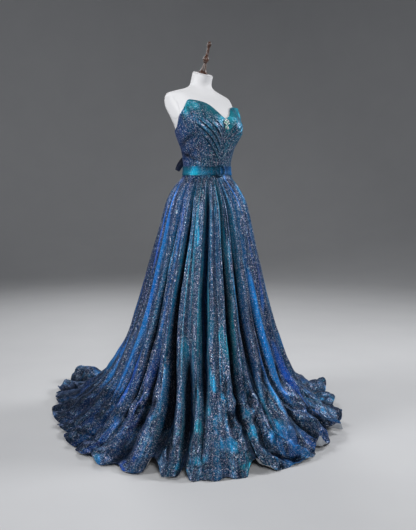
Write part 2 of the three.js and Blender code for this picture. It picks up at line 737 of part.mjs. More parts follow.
// The whole skirt as two grids: the inside lies a wall's thickness in, mitred in the folds
function skirtGrid() {
  const places = valleys.flatMap((_, i) => foldColumns.map((share) => i + share));
  const outer = [
    ...trailRows.map((row) => places.map((place) => trailPoint(place, row))),
    ...skirtLevels.map((z) => places.map((place) => skirtPoint(place, z))),
  ];
  const columns = places.length;
  const inner = outer.map((row, r) => row.map((p, c) => {
    const above = outer[Math.min(r + 1, outer.length - 1)][c];
    const below = outer[Math.max(r - 1, 0)][c];
    const upward = above.clone().sub(below);
    const before = p.clone().sub(row[(c + columns - 1) % columns]).cross(upward).normalize();
    const after = row[(c + 1) % columns].clone().sub(p).cross(upward).normalize();
    const normal = before.clone().add(after).normalize();
    const mitre = Math.min(2, 1 / Math.max(0.2, normal.dot(before)));
    const q = p.clone().addScaledVector(normal, -skirtWall * mitre);
    q.z = Math.max(q.z, floorClear);
    if (r === outer.length - 1) q.z = p.z;
    return q;
  }));
  return { outer, inner };
}

function buildSkirt() {
  const group = new THREE.Group();
  const grid = skirtGrid();
  const seams = valleys.map((valley, i) => ({ ...valley, column: i * foldColumns.length }))
    .filter((valley) => valley.seam);
  seams.forEach((valley, i) => {
    const end = i + 1 < seams.length ? seams[i + 1].column : valleys.length * foldColumns.length;
    group.add(part(goreNames[valley.waist], panel(grid, valley.column, end), cloth));
  });
  return group;
}

const dress = new THREE.Group();
dress.add(buildForm(), buildArmPlate(-1, 'arm_plate_right'), buildArmPlate(1, 'arm_plate_left'));
dress.add(buildNeckTop(), buildStand());
dress.add(buildBodice(), buildModestyPanel());
dress.add(buildLoopTape(-1, 'loop_tape_right'), buildLoopTape(1, 'loop_tape_left'));
dress.add(buildLace(1, 'lace_one', lacing.offsets[0]), buildLace(-1, 'lace_two', lacing.offsets[1]));
dress.add(buildBow(), buildBelt(), buildBuckle(), buildBrooch(), buildSkirt());

export default dress;
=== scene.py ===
import itertools
import math

import bpy
import numpy as np
from mathutils import Matrix, Vector


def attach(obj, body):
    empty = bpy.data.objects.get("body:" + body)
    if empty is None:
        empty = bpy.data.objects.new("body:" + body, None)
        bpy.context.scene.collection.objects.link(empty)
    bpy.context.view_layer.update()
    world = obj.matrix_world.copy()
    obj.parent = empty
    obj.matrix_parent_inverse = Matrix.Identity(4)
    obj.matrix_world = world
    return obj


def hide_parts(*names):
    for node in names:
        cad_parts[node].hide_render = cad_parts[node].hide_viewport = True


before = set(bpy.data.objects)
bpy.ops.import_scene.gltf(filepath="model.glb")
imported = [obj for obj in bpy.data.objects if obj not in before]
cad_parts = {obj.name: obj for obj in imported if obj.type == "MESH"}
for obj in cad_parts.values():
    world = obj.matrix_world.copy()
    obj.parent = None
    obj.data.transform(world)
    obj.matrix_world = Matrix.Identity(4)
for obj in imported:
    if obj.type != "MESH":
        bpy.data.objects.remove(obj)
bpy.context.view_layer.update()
bpy.ops.object.select_all(action="DESELECT")
print("frame loaded:", len(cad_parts), "nodes")

# The camera stands a little above the bust and looks down at the dress from its right front
view = {"place": (-1.9665, -2.5244, 1.15), "tilt": 82.8, "turn": -38, "lens": 48.3}
bpy.ops.object.camera_add(
    location=view["place"],
    rotation=(math.radians(view["tilt"]), 0, math.radians(view["turn"])),
)
bpy.context.object.data.lens = view["lens"]
bpy.context.scene.camera = bpy.context.object
bpy.context.scene.view_settings.view_transform = "Standard"


# Small sums that every piece uses. Lengths are in millimetres until a mesh is made.

def rise(share):
    t = np.clip(share, 0, 1)
    return t * t * (3 - 2 * t)


def bell(distance):
    return np.exp(-0.5 * np.square(distance))


def mix(a, b, share):
    return a + (b - a) * share


def sine(angle):
    return np.sin(np.radians(angle))


def cosine(angle):
    return np.cos(np.radians(angle))


# How far an angle is from another, either way round
def apartFrom(angle, middle):
    return (angle - middle + 180) % 360 - 180


# Nought below nought and the number itself above, with a soft bend between
def softly(excess, soft):
    return soft * np.log1p(np.exp(np.clip(excess / soft, -40, 40)))


# One column of a table along a smooth curve through its rows, whose first column rises
def readTable(table, at, column):
    keys, values = table[:, 0], table[:, column]
    last = len(keys) - 1
    before, after = np.maximum(np.arange(last + 1) - 1, 0), np.minimum(np.arange(last + 1) + 1, last)
    slopes = (values[after] - values[before]) / (keys[after] - keys[before])
    at = np.asarray(at, float)
    i = np.clip(np.searchsorted(keys, at, side="left") - 1, 0, last - 1)
    span = keys[i + 1] - keys[i]
    t = np.clip((at - keys[i]) / span, 0, 1)
    bent = (t - 2 * t**2 + t**3) * span * slopes[i] + (t**3 - t**2) * span * slopes[i + 1]
    return mix(values[i], values[i + 1], t * t * (3 - 2 * t)) + bent


# Lumps from -1 to 1, about one to a cell, the same in every run: soft, or crisp like creased paper
def softNoise(points, cell, seed, crisp=False):
    at = points / np.asarray(cell, float)
    low = np.floor(at).astype(np.int64)
    part = at - low
    part = part if crisp else part * part * (3 - 2 * part)
    total = np.zeros(points.shape[:-1])
    for corner in itertools.product((0, 1), repeat=3):
        spot = low + np.array(corner)
        mixed = (spot[..., 0] * 73856093) ^ (spot[..., 1] * 19349663) ^ (spot[..., 2] * 83492791)
        mixed = (mixed ^ (seed * 668265263)) & 0x7FFFFFFF
        mixed = ((mixed ^ (mixed >> 13)) * 1274126177) & 0x7FFFFFFF
        mixed = ((mixed ^ (mixed >> 16)) * 73244475) & 0x7FFFFFFF
        weight = np.prod(np.where(corner, part, 1 - part), axis=-1)
        total += weight * (mixed / 0x3FFFFFFF - 1)
    return total


# Points from three numbers or grids of any matching shape
def together(x, y, z):
    return np.stack(np.broadcast_arrays(x, y, z), axis=-1)


# Outward directions of a grid's surface; a closed grid meets itself at the last column
def gridNormals(grid, closed=False):
    wide = np.concatenate([grid[:, -1:], grid, grid[:, :1]], axis=1) if closed else grid
    normal = np.cross(np.gradient(wide, axis=1), np.gradient(wide, axis=0))
    normal /= np.maximum(np.linalg.norm(normal, axis=-1, keepdims=True), 1e-9)
    return normal[:, 1:-1] if closed else normal


# A mesh from a grid of points, rows from below and columns anticlockwise, so faces look outwards.
# marks are numbers for each point, and the map runs in metres along the cloth.
def gridMesh(name, grid, closed=False, marks=None, across=None, caps=False):
    rows, columns = grid.shape[:2]
    index = np.arange(rows * columns).reshape(rows, columns)
    step = np.linalg.norm(np.diff(grid, axis=0), axis=-1).mean(axis=1)
    down = np.concatenate([[0], np.cumsum(step)]) * 0.001
    if across is None:
        middle = grid[rows // 2]
        run = np.linalg.norm(np.diff(middle, axis=0, append=middle[:1]), axis=-1)
        across = np.concatenate([[0], np.cumsum(run)]) * 0.001
        across = across if closed else across[:columns]
    if closed:
        index = np.concatenate([index, index[:, :1]], axis=1)
    u, v = np.meshgrid(across, down)

    def corners(a):
        return np.stack([a[:-1, :-1], a[:-1, 1:], a[1:, 1:], a[1:, :-1]], axis=-1).reshape(-1, 4)

    faces = corners(index).tolist()
    places = np.stack([corners(u), corners(v)], axis=-1).reshape(-1, 2)
    if caps:
        faces += [index[0, :columns][::-1].tolist(), index[-1, :columns].tolist()]
        places = np.concatenate([places, np.zeros((2 * columns, 2))])
    mesh = bpy.data.meshes.new(name)
    mesh.from_pydata((grid.reshape(-1, 3) * 0.001).tolist(), [], faces)
    mesh.uv_layers.new(name="clothMap").data.foreach_set("uv", places.astype(np.float32).ravel())
    for key, values in (marks or {}).items():
        layer = mesh.attributes.new(key, "FLOAT", "POINT")
        layer.data.foreach_set("value", np.broadcast_to(values, (rows, columns)).astype(np.float32).ravel())
    mesh.polygons.foreach_set("use_smooth", np.ones(len(faces), bool))
    piece = bpy.data.objects.new(name, mesh)
    bpy.context.scene.collection.objects.link(piece)
    return piece


# Moves the two side edges of a grid inwards by half the gap of a seam
def openSeams(grid, halfGap):
    for column, way in ((0, 1), (-1, -1)):
        along = np.stack([-grid[:, column, 1], grid[:, column, 0]], axis=-1)
        along /= np.linalg.norm(along, axis=-1, keepdims=True)
        grid[:, column, :2] += along * way * halfGap


def makeActive(piece):
    bpy.ops.object.select_all(action="DESELECT")
    piece.select_set(True)
    bpy.context.view_layer.objects.active = piece


def smoothEdges(piece, limit):
    makeActive(piece)
    bpy.ops.object.shade_smooth_by_angle(angle=math.radians(limit))


def joinPieces(parts):
    makeActive(parts[0])
    for part in parts:
        part.select_set(True)
    bpy.ops.object.join()
    return parts[0]


# Cloth gets its thickness inwards, so the right side stays where it was drawn
def thicken(piece, wall, materials):
    for material in materials:
        piece.data.materials.append(material)
    makeActive(piece)
    shell = piece.modifiers.new("wall", "SOLIDIFY")
    shell.thickness = wall * 0.001
    shell.offset = -1
    shell.use_even_offset = False
    shell.material_offset = len(materials) - 1
    bpy.ops.object.modifier_apply(modifier="wall")
    smoothEdges(piece, 55)


def settle(piece, slotName, *nodes):
    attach(piece, "root")
    if nodes:
        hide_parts(*nodes)
    return piece


# Materials

def colour(code):
    parts = [int(code[i:i + 2], 16) / 255 for i in (1, 3, 5)]
    linear = [c / 12.92 if c <= 0.04045 else ((c + 0.055) / 1.055) ** 2.4 for c in parts]
    return (*linear, 1)


# Adds a node with its settings, ramp stops and links
def addNode(tree, kind, settings=None, links=None, stops=None):
    node = tree.nodes.new("ShaderNode" + kind)
    for key, value in (settings or {}).items():
        if isinstance(key, str) and hasattr(node, key):
            setattr(node, key, value)
        else:
            node.inputs[key].default_value = value
    for i, (place, shade) in enumerate(stops or []):
        stop = node.color_ramp.elements[i] if i < 2 else node.color_ramp.elements.new(place)
        stop.position, stop.color = place, shade
    for key, source in (links or {}).items():
        tree.links.new(source, node.inputs[key])
    return node


def newMaterial(name):
    material = bpy.data.materials.new(name)
    material.use_nodes = True
    material.node_tree.nodes.clear()
    return material, material.node_tree


def giveSurface(tree, shader):
    addNode(tree, "OutputMaterial", links={"Surface": shader.outputs[0]})


# Glitter organza over taffeta: a shot weave with fine metal flakes glued on. Flat to the eye it is slate.
# Where it turns away, painted sheen makes it teal or royal blue, painted shade takes it to near black in the
# valleys, and single flakes are painted lilac and white as painted glints.
# Real flakes are 0.5 mm; here they are 4.2 mm, the finest that still shows.
glitter = {
    "flake": 0.0042, "fine": 0.0022,
    "ridge": "#1d3653", "ridgeLow": "#0c182e", "teal": "#0e9ab5", "royal": "#104fb2", "valley": "#010307",
    "band": "#127d8c", "flakes": ["#8fa3c4", "#bdb2d0", "#ece4ec", "#8cc6d2"],
}


def makeGlitterCloth(name, sparkle):
    material, tree = newMaterial(name)
    place = addNode(tree, "TexCoord").outputs["Object"]
    cloth = addNode(tree, "UVMap", {"uv_map": "clothMap"}).outputs["UV"]
    fold, paintedShade, tone, band = (addNode(tree, "Attribute", {"attribute_name": key}).outputs["Fac"]
                               for key in ("fold", "paintedShade", "tone", "band"))
    flakes = addNode(tree, "TexVoronoi", {"Scale": 1 / glitter["flake"]}, {"Vector": place})
    fine = addNode(tree, "TexVoronoi", {"Scale": 1 / glitter["fine"]}, {"Vector": place})
    pick = addNode(tree, "SeparateColor", links={"Color": flakes.outputs["Color"]})
    finePick = addNode(tree, "SeparateColor", links={"Color": fine.outputs["Color"]})
    # threads run down the cloth, so the painted sheen and the gloss change in long streaks
    threads = addNode(tree, "Mapping", {"Scale": (150, 7, 1)}, {"Vector": cloth})
    streak = addNode(tree, "TexNoise", {"Scale": 1, "Detail": 3}, {"Vector": threads.outputs["Vector"]})
    cloud = addNode(tree, "TexNoise", {"Scale": 14, "Detail": 2}, {"Vector": place})

    ground = addNode(tree, "Mix", {"data_type": "RGBA", 6: colour(glitter["ridgeLow"]),
                                   7: colour(glitter["ridge"])}, {0: cloud.outputs["Fac"]})
    turned = addNode(tree, "Mix", {"data_type": "RGBA", 6: colour(glitter["teal"]),
                                   7: colour(glitter["royal"])}, {0: tone})
    sway = addNode(tree, "Math", {"operation": "MULTIPLY_ADD", 1: 0.9, 2: -0.42},
                   {0: streak.outputs["Fac"]})
    # painted sheen: where its mark is high, the colour goes over to teal or royal blue, as the shot cloth
    # does where it turns
    side = addNode(tree, "Math", {"operation": "ADD", "use_clamp": True},
                   {0: fold, 1: sway.outputs[0]})
    paintedShotSheen = addNode(tree, "Mix", {"data_type": "RGBA"},
                   {0: side.outputs[0], 6: ground.outputs[2], 7: turned.outputs[2]})
    topped = addNode(tree, "Mix", {"data_type": "RGBA", 7: colour(glitter["band"])},
                     {0: band, 6: paintedShotSheen.outputs[2]})
    # painted shade: the colour goes towards near black where the shade mark is high
    sunk = addNode(tree, "Mix", {"data_type": "RGBA", 7: colour(glitter["valley"])},
                   {0: paintedShade, 6: topped.outputs[2]})

    # about a third of the flakes lie flat enough to flash, and these are painted bright as painted glints
    lit = addNode(tree, "MapRange", {"From Min": 0.62, "From Max": 1.02, "To Max": sparkle},
                  {"Value": pick.outputs["Red"]})
    litFine = addNode(tree, "MapRange", {"From Min": 0.7, "From Max": 1.1, "To Max": sparkle * 0.6},
                      {"Value": finePick.outputs["Red"]})
    dot = addNode(tree, "MapRange", {"From Min": 0.35, "From Max": 0.62, "To Min": 1, "To Max": 0},
                  {"Value": flakes.outputs["Distance"]})
    spot = addNode(tree, "Math", {"operation": "MULTIPLY"}, {0: lit.outputs[0], 1: dot.outputs[0]})
    both = addNode(tree, "Math", {"operation": "MAXIMUM"}, {0: spot.outputs[0], 1: litFine.outputs[0]})
    # few flakes show under the painted sheen of the turned cloth, the painted shade and the band
    thin = addNode(tree, "Math", {"operation": "MULTIPLY", 1: 0.75}, {0: side.outputs[0]})
    clear = addNode(tree, "Math", {"operation": "MAXIMUM"}, {0: paintedShade, 1: band})
    bare = addNode(tree, "Math", {"operation": "MAXIMUM"}, {0: clear.outputs[0], 1: thin.outputs[0]})
    uncovered = addNode(tree, "MapRange", {"To Min": 1, "To Max": 0.12}, {"Value": bare.outputs[0]})
    shown = addNode(tree, "Math", {"operation": "MULTIPLY"}, {0: both.outputs[0], 1: uncovered.outputs[0]})
    stops = [(i / 3, colour(code)) for i, code in enumerate(glitter["flakes"])]
    tints = addNode(tree, "ValToRGB", links={"Fac": pick.outputs["Green"]},
                    stops=[stops[0], stops[3], stops[1], stops[2]])
    body = addNode(tree, "Mix", {"data_type": "RGBA"},
                   {0: shown.outputs[0], 6: sunk.outputs[2], 7: tints.outputs["Color"]})

    # each flake is tipped its own way
    tip = addNode(tree, "VectorMath", {"operation": "SUBTRACT", 1: (0.5, 0.5, 0.5)},
                  {0: flakes.outputs["Color"]})
    tipped = addNode(tree, "VectorMath", {"operation": "SCALE", "Scale": 0.22}, {0: tip.outputs[0]})
    lie = addNode(tree, "NewGeometry").outputs["Normal"]
    flat = addNode(tree, "VectorMath", {"operation": "ADD"}, {0: lie, 1: tipped.outputs[0]})
    facing = addNode(tree, "VectorMath", {"operation": "NORMALIZE"}, {0: flat.outputs[0]})
    weave = addNode(tree, "Bump", {"Strength": 0.2, "Distance": 0.0012},
                    {"Height": streak.outputs["Fac"], "Normal": facing.outputs[0]})
    shader = addNode(tree, "BsdfPrincipled", {
        "Metallic": 0.45, "Roughness": 0.44, "Specular Tint": colour("#5fb8ff"), "Specular IOR Level": 0.3,
        "Sheen Weight": 0.08, "Sheen Roughness": 0.35, "Sheen Tint": colour("#1f8ae8"),
    }, {"Base Color": body.outputs[2], "Normal": weave.outputs[0]})
    giveSurface(tree, shader)
    return material


# Plain polyester taffeta of one colour: fine threads both ways, a soft gloss
def makeTaffeta(name, low, high, roughness, sheen, thread=0.0012):
    material, tree = newMaterial(name)
    cloth = addNode(tree, "UVMap", {"uv_map": "clothMap"}).outputs["UV"]
    place = addNode(tree, "TexCoord").outputs["Object"]
    warp = addNode(tree, "TexWave", {"Scale": 1 / thread / 20, "Distortion": 1}, {"Vector": cloth})
    weft = addNode(tree, "TexWave", {"Scale": 1 / thread / 20, "Distortion": 1, "bands_direction": "Y"},
                   {"Vector": cloth})
    threads = addNode(tree, "Math", {"operation": "ADD"}, {0: warp.outputs["Fac"], 1: weft.outputs["Fac"]})
    cloud = addNode(tree, "TexNoise", {"Scale": 22, "Detail": 4}, {"Vector": place})
    body = addNode(tree, "Mix", {"data_type": "RGBA", 6: colour(low), 7: colour(high)},
                   {0: cloud.outputs["Fac"]})
    bumps = addNode(tree, "Bump", {"Strength": 0.25, "Distance": 0.0003}, {"Height": threads.outputs[0]})
    shader = addNode(tree, "BsdfPrincipled", {
        "Roughness": roughness, "Sheen Weight": sheen, "Sheen Roughness": 0.4,
    }, {"Base Color": body.outputs[2], "Normal": bumps.outputs[0]})
    giveSurface(tree, shader)
    return material


# A surface of one colour that varies a little from place to place. cloud is the scale and detail of
# that change; bumps are scale, detail, strength and height of a fine relief.
def makeClouded(name, low, high, cloud, surface, bumps=None):
    material, tree = newMaterial(name)
    place = addNode(tree, "TexCoord").outputs["Object"]
    change = addNode(tree, "TexNoise", {"Scale": cloud[0], "Detail": cloud[1]}, {"Vector": place})
    body = addNode(tree, "Mix", {"data_type": "RGBA", 6: colour(low), 7: colour(high)},
                   {0: change.outputs["Fac"]})
    links = {"Base Color": body.outputs[2]}
    if bumps:
        scale, detail, strength, height = bumps
        grain = addNode(tree, "TexNoise", {"Scale": scale, "Detail": detail}, {"Vector": place})
        relief = addNode(tree, "Bump", {"Strength": strength, "Distance": height},
                         {"Height": grain.outputs["Fac"]})
        links["Normal"] = relief.outputs[0]
    giveSurface(tree, addNode(tree, "BsdfPrincipled", surface, links))
    return material


# Turned beech stained to walnut and waxed: long grain up the spindle
def makeStainedBeech():
    material, tree = newMaterial("stainedBeech")
    place = addNode(tree, "TexCoord").outputs["Object"]
    along = addNode(tree, "Mapping", {"Scale": (220, 220, 22)}, {"Vector": place})
    grain = addNode(tree, "TexNoise", {"Scale": 1, "Detail": 5, "Distortion": 0.6},
                    {"Vector": along.outputs["Vector"]})
    shades = addNode(tree, "ValToRGB", links={"Fac": grain.outputs["Fac"]},
                     stops=[(0.3, colour("#1c0f0a")), (0.75, colour("#54301f"))])
    bumps = addNode(tree, "Bump", {"Strength": 0.15, "Distance": 0.0004}, {"Height": grain.outputs["Fac"]})
    shader = addNode(tree, "BsdfPrincipled", {
        "Roughness": 0.42, "Coat Weight": 0.15, "Coat Roughness": 0.3,
    }, {"Base Color": shades.outputs["Color"], "Normal": bumps.outputs[0]})
    giveSurface(tree, shader)
    return material


# Rhodium-plated brass claws: bright, a little cool, with gloss and colour that vary a little from place to
# place
def makePlatedBrass():
    material, tree = newMaterial("rhodiumPlatedBrass")
    place = addNode(tree, "TexCoord").outputs["Object"]
    wear = addNode(tree, "TexNoise", {"Scale": 300, "Detail": 3}, {"Vector": place})
    rough = addNode(tree, "MapRange", {"To Min": 0.18, "To Max": 0.36}, {"Value": wear.outputs["Fac"]})
    body = addNode(tree, "Mix", {"data_type": "RGBA", 6: colour("#b9bcc2"), 7: colour("#d6d8dc")},
                   {0: wear.outputs["Fac"]})
    shader = addNode(tree, "BsdfPrincipled", {"Metallic": 1},
                     {"Base Color": body.outputs[2], "Roughness": rough.outputs[0]})
    giveSurface(tree, shader)
    return material


glitterCloth = makeGlitterCloth("shotGlitterOrganza", 0.85)
beltCloth = makeGlitterCloth("shotTaffetaBelt", 0.3)
wrongSide = makeTaffeta("greyTaffetaWrongSide", "#7d838c", "#a3a8af", 0.6, 0.3)
ribbonCloth = makeTaffeta("navySatinRibbon", "#10182e", "#1a2a4c", 0.34, 0.25)
# cotton jersey pulled tight over the form: matte, with a knit too fine to cast a shadow
jersey = makeClouded("whiteCottonJersey", "#c9cacd", "#d8d8da", (9, 3),
                     {"Roughness": 0.78, "Sheen Weight": 0.15, "Sheen Roughness": 0.5},
                     (900, 2, 0.12, 0.0004))
stainedBeech = makeStainedBeech()
# powder-coated mild steel: an even grey with the orange peel of the powder
coatedSteel = makeClouded("powderCoatedSteel", "#74777b", "#94979b", (18, 6),
                          {"Metallic": 0.6, "Roughness": 0.42}, (420, 2, 0.2, 0.0003))
# cut glass, foiled at the back, so it is bright and faceted and needs no light through it
foiled = {"Metallic": 0.35, "Roughness": 0.08, "Coat Weight": 1, "Coat Roughness": 0.03}
greenGlass = makeClouded("paleGreenCutGlass", "#7fc4ae", "#c9efdf", (160, 1), foiled)
clearGlass = makeClouded("clearCutGlass", "#cfd8dc", "#ffffff", (160, 1), foiled)
platedBrass = makePlatedBrass()
# board painted with matt emulsion: hardly any gloss, a little cloudy
paintedBoard = makeClouded("palePaintedBoard", "#bfc0c3", "#c6c7c9", (3, 4), {"Roughness": 0.7})
print("materials made")


# The figure that the bodice is cut to. Angles run from the centre front towards the dress's left.
figure = {
    # height, half width, front, back, middle, squareness, reach towards the shoulder's front
    "sections": np.array([
        [930, 145, 100, 112, 0, 2.1, 200], [985, 150, 106, 116, 0, 2.1, 200],
        [1070, 142, 100, 98, 0, 2.1, 200], [1130, 119, 90, 85, 0, 2.1, 180],
        [1169, 108, 84, 82, 0, 2.1, 170], [1215, 111, 88, 84, 1, 2.1, 165],
        [1265, 124, 98, 88, 2, 2.1, 160], [1310, 140, 106, 94, 6, 2.2, 156],
        [1350, 150, 114, 98, 10, 2.2, 154], [1380, 162, 124, 96, 16, 2.3, 152],
        [1405, 176, 132, 92, 23, 2.3, 141], [1440, 190, 130, 80, 42, 2.4, 123],
        [1472, 190, 108, 62, 52, 2.5, 112], [1495, 168, 80, 52, 54, 2.5, 104],
        [1512, 120, 64, 48, 52, 2.2, 96], [1526, 78, 52, 47, 48, 2, 90],
        [1540, 56, 46, 45, 46, 2, 90], [1560, 49, 45, 46, 41, 2, 90], [1592, 46, 46, 45, 30, 2, 90],
    ]),
    "waist": 1169, "lean": 0.06, "leanRise": 150,
    "bustAngle": 30, "bustHeight": 1350, "bustLift": 40, "bustSpread": 20, "bustRise": 42,
    "cornerAngle": 52, "cornerSoft": 9,
}


def section(z, column):
    return readTable(figure["sections"], z, column)


def ovalRadius(angle, wide, front, back, power):
    along = cosine(angle)
    deep = np.abs(along) / np.where(along > 0, front, back)
    return ((np.abs(sine(angle)) / wide) ** power + deep**power) ** (-1 / power)


def figureRadius(angle, z):
    plain = ovalRadius(angle, section(z, 1), section(z, 2), section(z, 3), section(z, 5))
    lift = figure["bustLift"] * bell((z - figure["bustHeight"]) / figure["bustRise"])
    away = np.abs(np.where(np.asarray(angle) > 180, np.asarray(angle) - 360, angle))
    full = plain + lift * (bell((away - figure["bustAngle"]) / figure["bustSpread"])
                           + bell((away + figure["bustAngle"]) / figure["bustSpread"]))
    off = cosine(away - figure["cornerAngle"])
    most = (section(z, 6) + sine(figure["cornerAngle"] - 14) * section(z, 4)) / np.maximum(off, 0.2)
    return np.where(off < 0.2, full, full - softly(full - most, figure["cornerSoft"]))


# Points off the figure, at angles and heights, as the last axis
def offFigure(angle, z, off):
    angle, z, off = np.broadcast_arrays(*(np.asarray(part, float) for part in (angle, z, off)))
    radius = figureRadius(angle, z) + off
    x = radius * sine(angle)
    y = section(z, 4) - radius * cosine(angle)
    drop = figure["lean"] * x * rise((z - figure["waist"]) / figure["leanRise"])
    return np.stack([x, y, z - drop], axis=-1)


# The form, with a flat cut at each shoulder and a tipped one at the neck
form = {
    "low": 930, "high": 1592, "rows": 150, "columns": 144, "inset": 1.5,
    "armTop": 171, "armHeight": 1480, "armSlope": 0.11, "armLeast": 155, "armSoft": 4,
    "neckFrom": 1540, "neckSlope": 0.3, "neckY": 30, "gap": 0.3,
    "plateAngle": 89, "plateZ": 1431, "plateWide": 14, "plateHigh": 50,
    # how far each ring of the plate stands off the form, and its size
    "plateRings": [(-1, 1), (0.3, 1), (0.8, 0.985), (1.1, 0.96), (1.2, 0.86), (1.2, 0.68), (1.2, 0.42),
                   (1.2, 0.14)],
    "capProfile": [(42, 0), (43, 0.6), (43, 1.8), (42, 2.8), (40.5, 3)],
    "finialProfile": [
        (20.4, 0), (21, 0.7), (21, 3), (20.3, 4.8), (17.5, 6.2), (16, 8), (15, 10), (12.6, 14), (11.2, 20),
        (9.6, 27), (7.6, 36), (6.2, 42), (5.5, 45), (6.6, 46.6), (10.4, 48), (12, 50.5), (11, 52.6),
        (11.4, 54), (13.2, 57), (13.6, 61), (12.9, 66), (10.6, 71), (7.4, 75.2), (6, 77), (6.6, 78.6),
        (7.6, 80.6), (7.5, 84), (6.3, 87), (6.4, 94), (6.1, 101), (5.1, 109), (5.2, 112), (7.4, 115.4),
        (8.6, 119), (9.4, 123), (9.4, 128), (8.4, 132), (6.2, 136), (3, 139), (0.8, 139.9),
    ],
}


# Points on the form, whose sides are cut flat for the arms
def onForm(angle, z, off):
    grid = offFigure(angle, z, off - form["inset"])
    sloped = form["armTop"] - form["armSlope"] * np.abs(form["armHeight"] - z)
    side = np.maximum(form["armLeast"], sloped) + off
    size = np.abs(grid[..., 0])
    cut = side - softly(side - size, form["armSoft"])
    grid[..., 0] = np.sign(grid[..., 0]) * np.where(size < side * 0.8, size, cut)
    return grid


def buildForm():
    z = np.linspace(form["low"], form["high"], form["rows"])[:, None]
    angle = np.arange(form["columns"])[None] * 360 / form["columns"]
    grid = onForm(angle, z, 0)
    tip = rise((z - form["neckFrom"]) / (form["high"] - form["neckFrom"]))
    grid[..., 2] += form["neckSlope"] * (grid[..., 1] - section(z, 4)) * tip
    piece = gridMesh("form_jersey", grid, closed=True, caps=True)
    piece.data.materials.append(jersey)
    smoothEdges(piece, 40)
    settle(piece, "form_white", "form_torso")


# A turned piece: a ring of edges is drawn up and scaled through a profile of radius and height
def turnPiece(name, profile, sides, turn=Matrix.Identity(4), smooth=35):
    bpy.ops.object.select_all(action="DESELECT")
    bpy.ops.mesh.primitive_circle_add(vertices=sides, radius=profile[0][0] * 0.001, fill_type="NGON",
                                      location=(0, 0, profile[0][1] * 0.001))
    piece = bpy.context.object
    piece.name = piece.data.name = name
    bpy.ops.object.transform_apply(location=True)
    bpy.ops.object.mode_set(mode="EDIT")
    bpy.ops.mesh.select_all(action="SELECT")
    for (wide, low), (nextWide, high) in zip(profile, profile[1:]):
        bpy.ops.mesh.extrude_region_move(TRANSFORM_OT_translate={"value": (0, 0, (high - low) * 0.001)})
        bpy.ops.transform.resize(value=(nextWide / wide, nextWide / wide, 1),
                                 center_override=(0, 0, high * 0.001))
    bpy.ops.mesh.select_all(action="SELECT")
    bpy.ops.mesh.normals_make_consistent(inside=False)
    bpy.ops.object.mode_set(mode="OBJECT")
    piece.data.transform(turn)
    smoothEdges(piece, smooth)
    return piece


def buildNeckTop():
    leaning = Vector((figure["lean"], -form["neckSlope"], 1)).normalized()
    turn = Vector((0, 0, 1)).rotation_difference(leaning).to_matrix().to_4x4()
    turn.translation = Vector((0, form["neckY"], form["high"] + form["gap"])) * 0.001
    cap = turnPiece("neck_cap_plate", form["capProfile"], 96, turn)
    cap.data.materials.append(jersey)
    settle(cap, "form_white", "neck_cap")
    high = form["capProfile"][-1][1] + form["gap"]
    profile = [(wide, z + high) for wide, z in form["finialProfile"]]
    finial = turnPiece("finial_turned", profile, 64, turn, 50)
    finial.data.materials.append(stainedBeech)
    settle(finial, "dark_wood", "finial")


def buildArmPlates():
    for side, word in ((-1, "right"), (1, "left")):
        turns = np.radians(np.arange(72) * 5) * side
        rings = []
        for off, size in form["plateRings"]:
            angle = side * (form["plateAngle"] - form["plateWide"] * size * np.cos(turns))
            rings.append(onForm(angle, form["plateZ"] + form["plateHigh"] * size * np.sin(turns), off))
        plate = gridMesh(f"arm_plate_{word}_cover", np.array(rings), closed=True, caps=True)
        plate.data.materials.append(jersey)
        smoothEdges(plate, 40)
        settle(plate, "form_white", f"arm_plate_{word}")


buildForm()
buildNeckTop()
buildArmPlates()
for node in ("stand_base", "stand_collar", "stand_pole"):
    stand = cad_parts[node]
    stand.data.materials.clear()
    stand.data.materials.append(coatedSteel)
print("form made")


# The bodice: six panels, with pleats that climb away from the centre seam like chevrons
bodice = {
    "wall": 1.6, "outside": 5, "seam": 1172, "rows": 110, "halfGap": 0.05,
    # angle, height of the top edge
    "neckline": np.array([
        [0, 1389], [7.5, 1401], [14, 1420], [21, 1440], [29, 1452], [37, 1457], [46, 1460], [56, 1459],
        [62, 1434], [72, 1402], [83, 1368], [93, 1345], [109, 1330], [130, 1322], [160, 1316], [172, 1314],
    ]),
    # each seam's angle at the waist and at the top
    "centre": (0, 0), "side": (52, 56), "back": (108, 112), "edge": (170, 167),
    "cupAngle": 56, "cupSpread": 13, "cupStand": 17, "cupFrom": 0.84,
    # where each pleat meets the centre seam, its height, and how far out it runs
    "pleats": [(1201, 3.4, 120), (1216, 1.4, 80), (1230, 4.6, 130), (1245, 1.6, 90), (1259, 5.2, 130),
               (1274, 1.6, 90), (1290, 4.2, 105), (1308, 1.2, 70), (1325, 2.6, 80)],
    # the far cup sits a little lower: angle, drop, width
    "farCup": (46, 8, 13),
    # how far the bright band along the top reaches down on either side, and its strength
    "bands": {-1: (56, 0.72), 1: (84, 0.9)},
    "climb": 1.19, "girth": 125, "crisp": 2.4, "soft": 9,
    # how a pleat fades: over its last stretch, below the top edge, above the belt, off the centre seam
    "pleatFade": 45, "pleatTop": (24, 22), "pleatFoot": (1192, 24), "pleatStart": (6, 18),
    # lumps of the pulled cloth: height, size, seed
    "lumps": [(0.7, 30, 5), (0.35, 13, 6)],
    "stitchDeep": 0.8, "stitchWide": 1.6,
    # soft drag lines: angle, height, slope, length, depth, width
    "drags": [(-70, 1250, 0.5, 50, 1.6, 7), (-78, 1290, 0.7, 60, 1.8, 8), (-62, 1215, -0.4, 40, 1.3, 6),
              (-90, 1235, -0.3, 55, 1.5, 7), (-100, 1275, 0.4, 50, 1.4, 8), (70, 1260, -0.5, 50, 1.5, 7),
              (82, 1225, 0.4, 55, 1.5, 7), (95, 1280, -0.5, 45, 1.4, 7), (-125, 1220, 0.3, 60, 1.3, 8),
              (-145, 1260, -0.3, 50, 1.2, 8), (128, 1235, 0.4, 55, 1.4, 8), (148, 1275, -0.2, 50, 1.1, 8)],
}


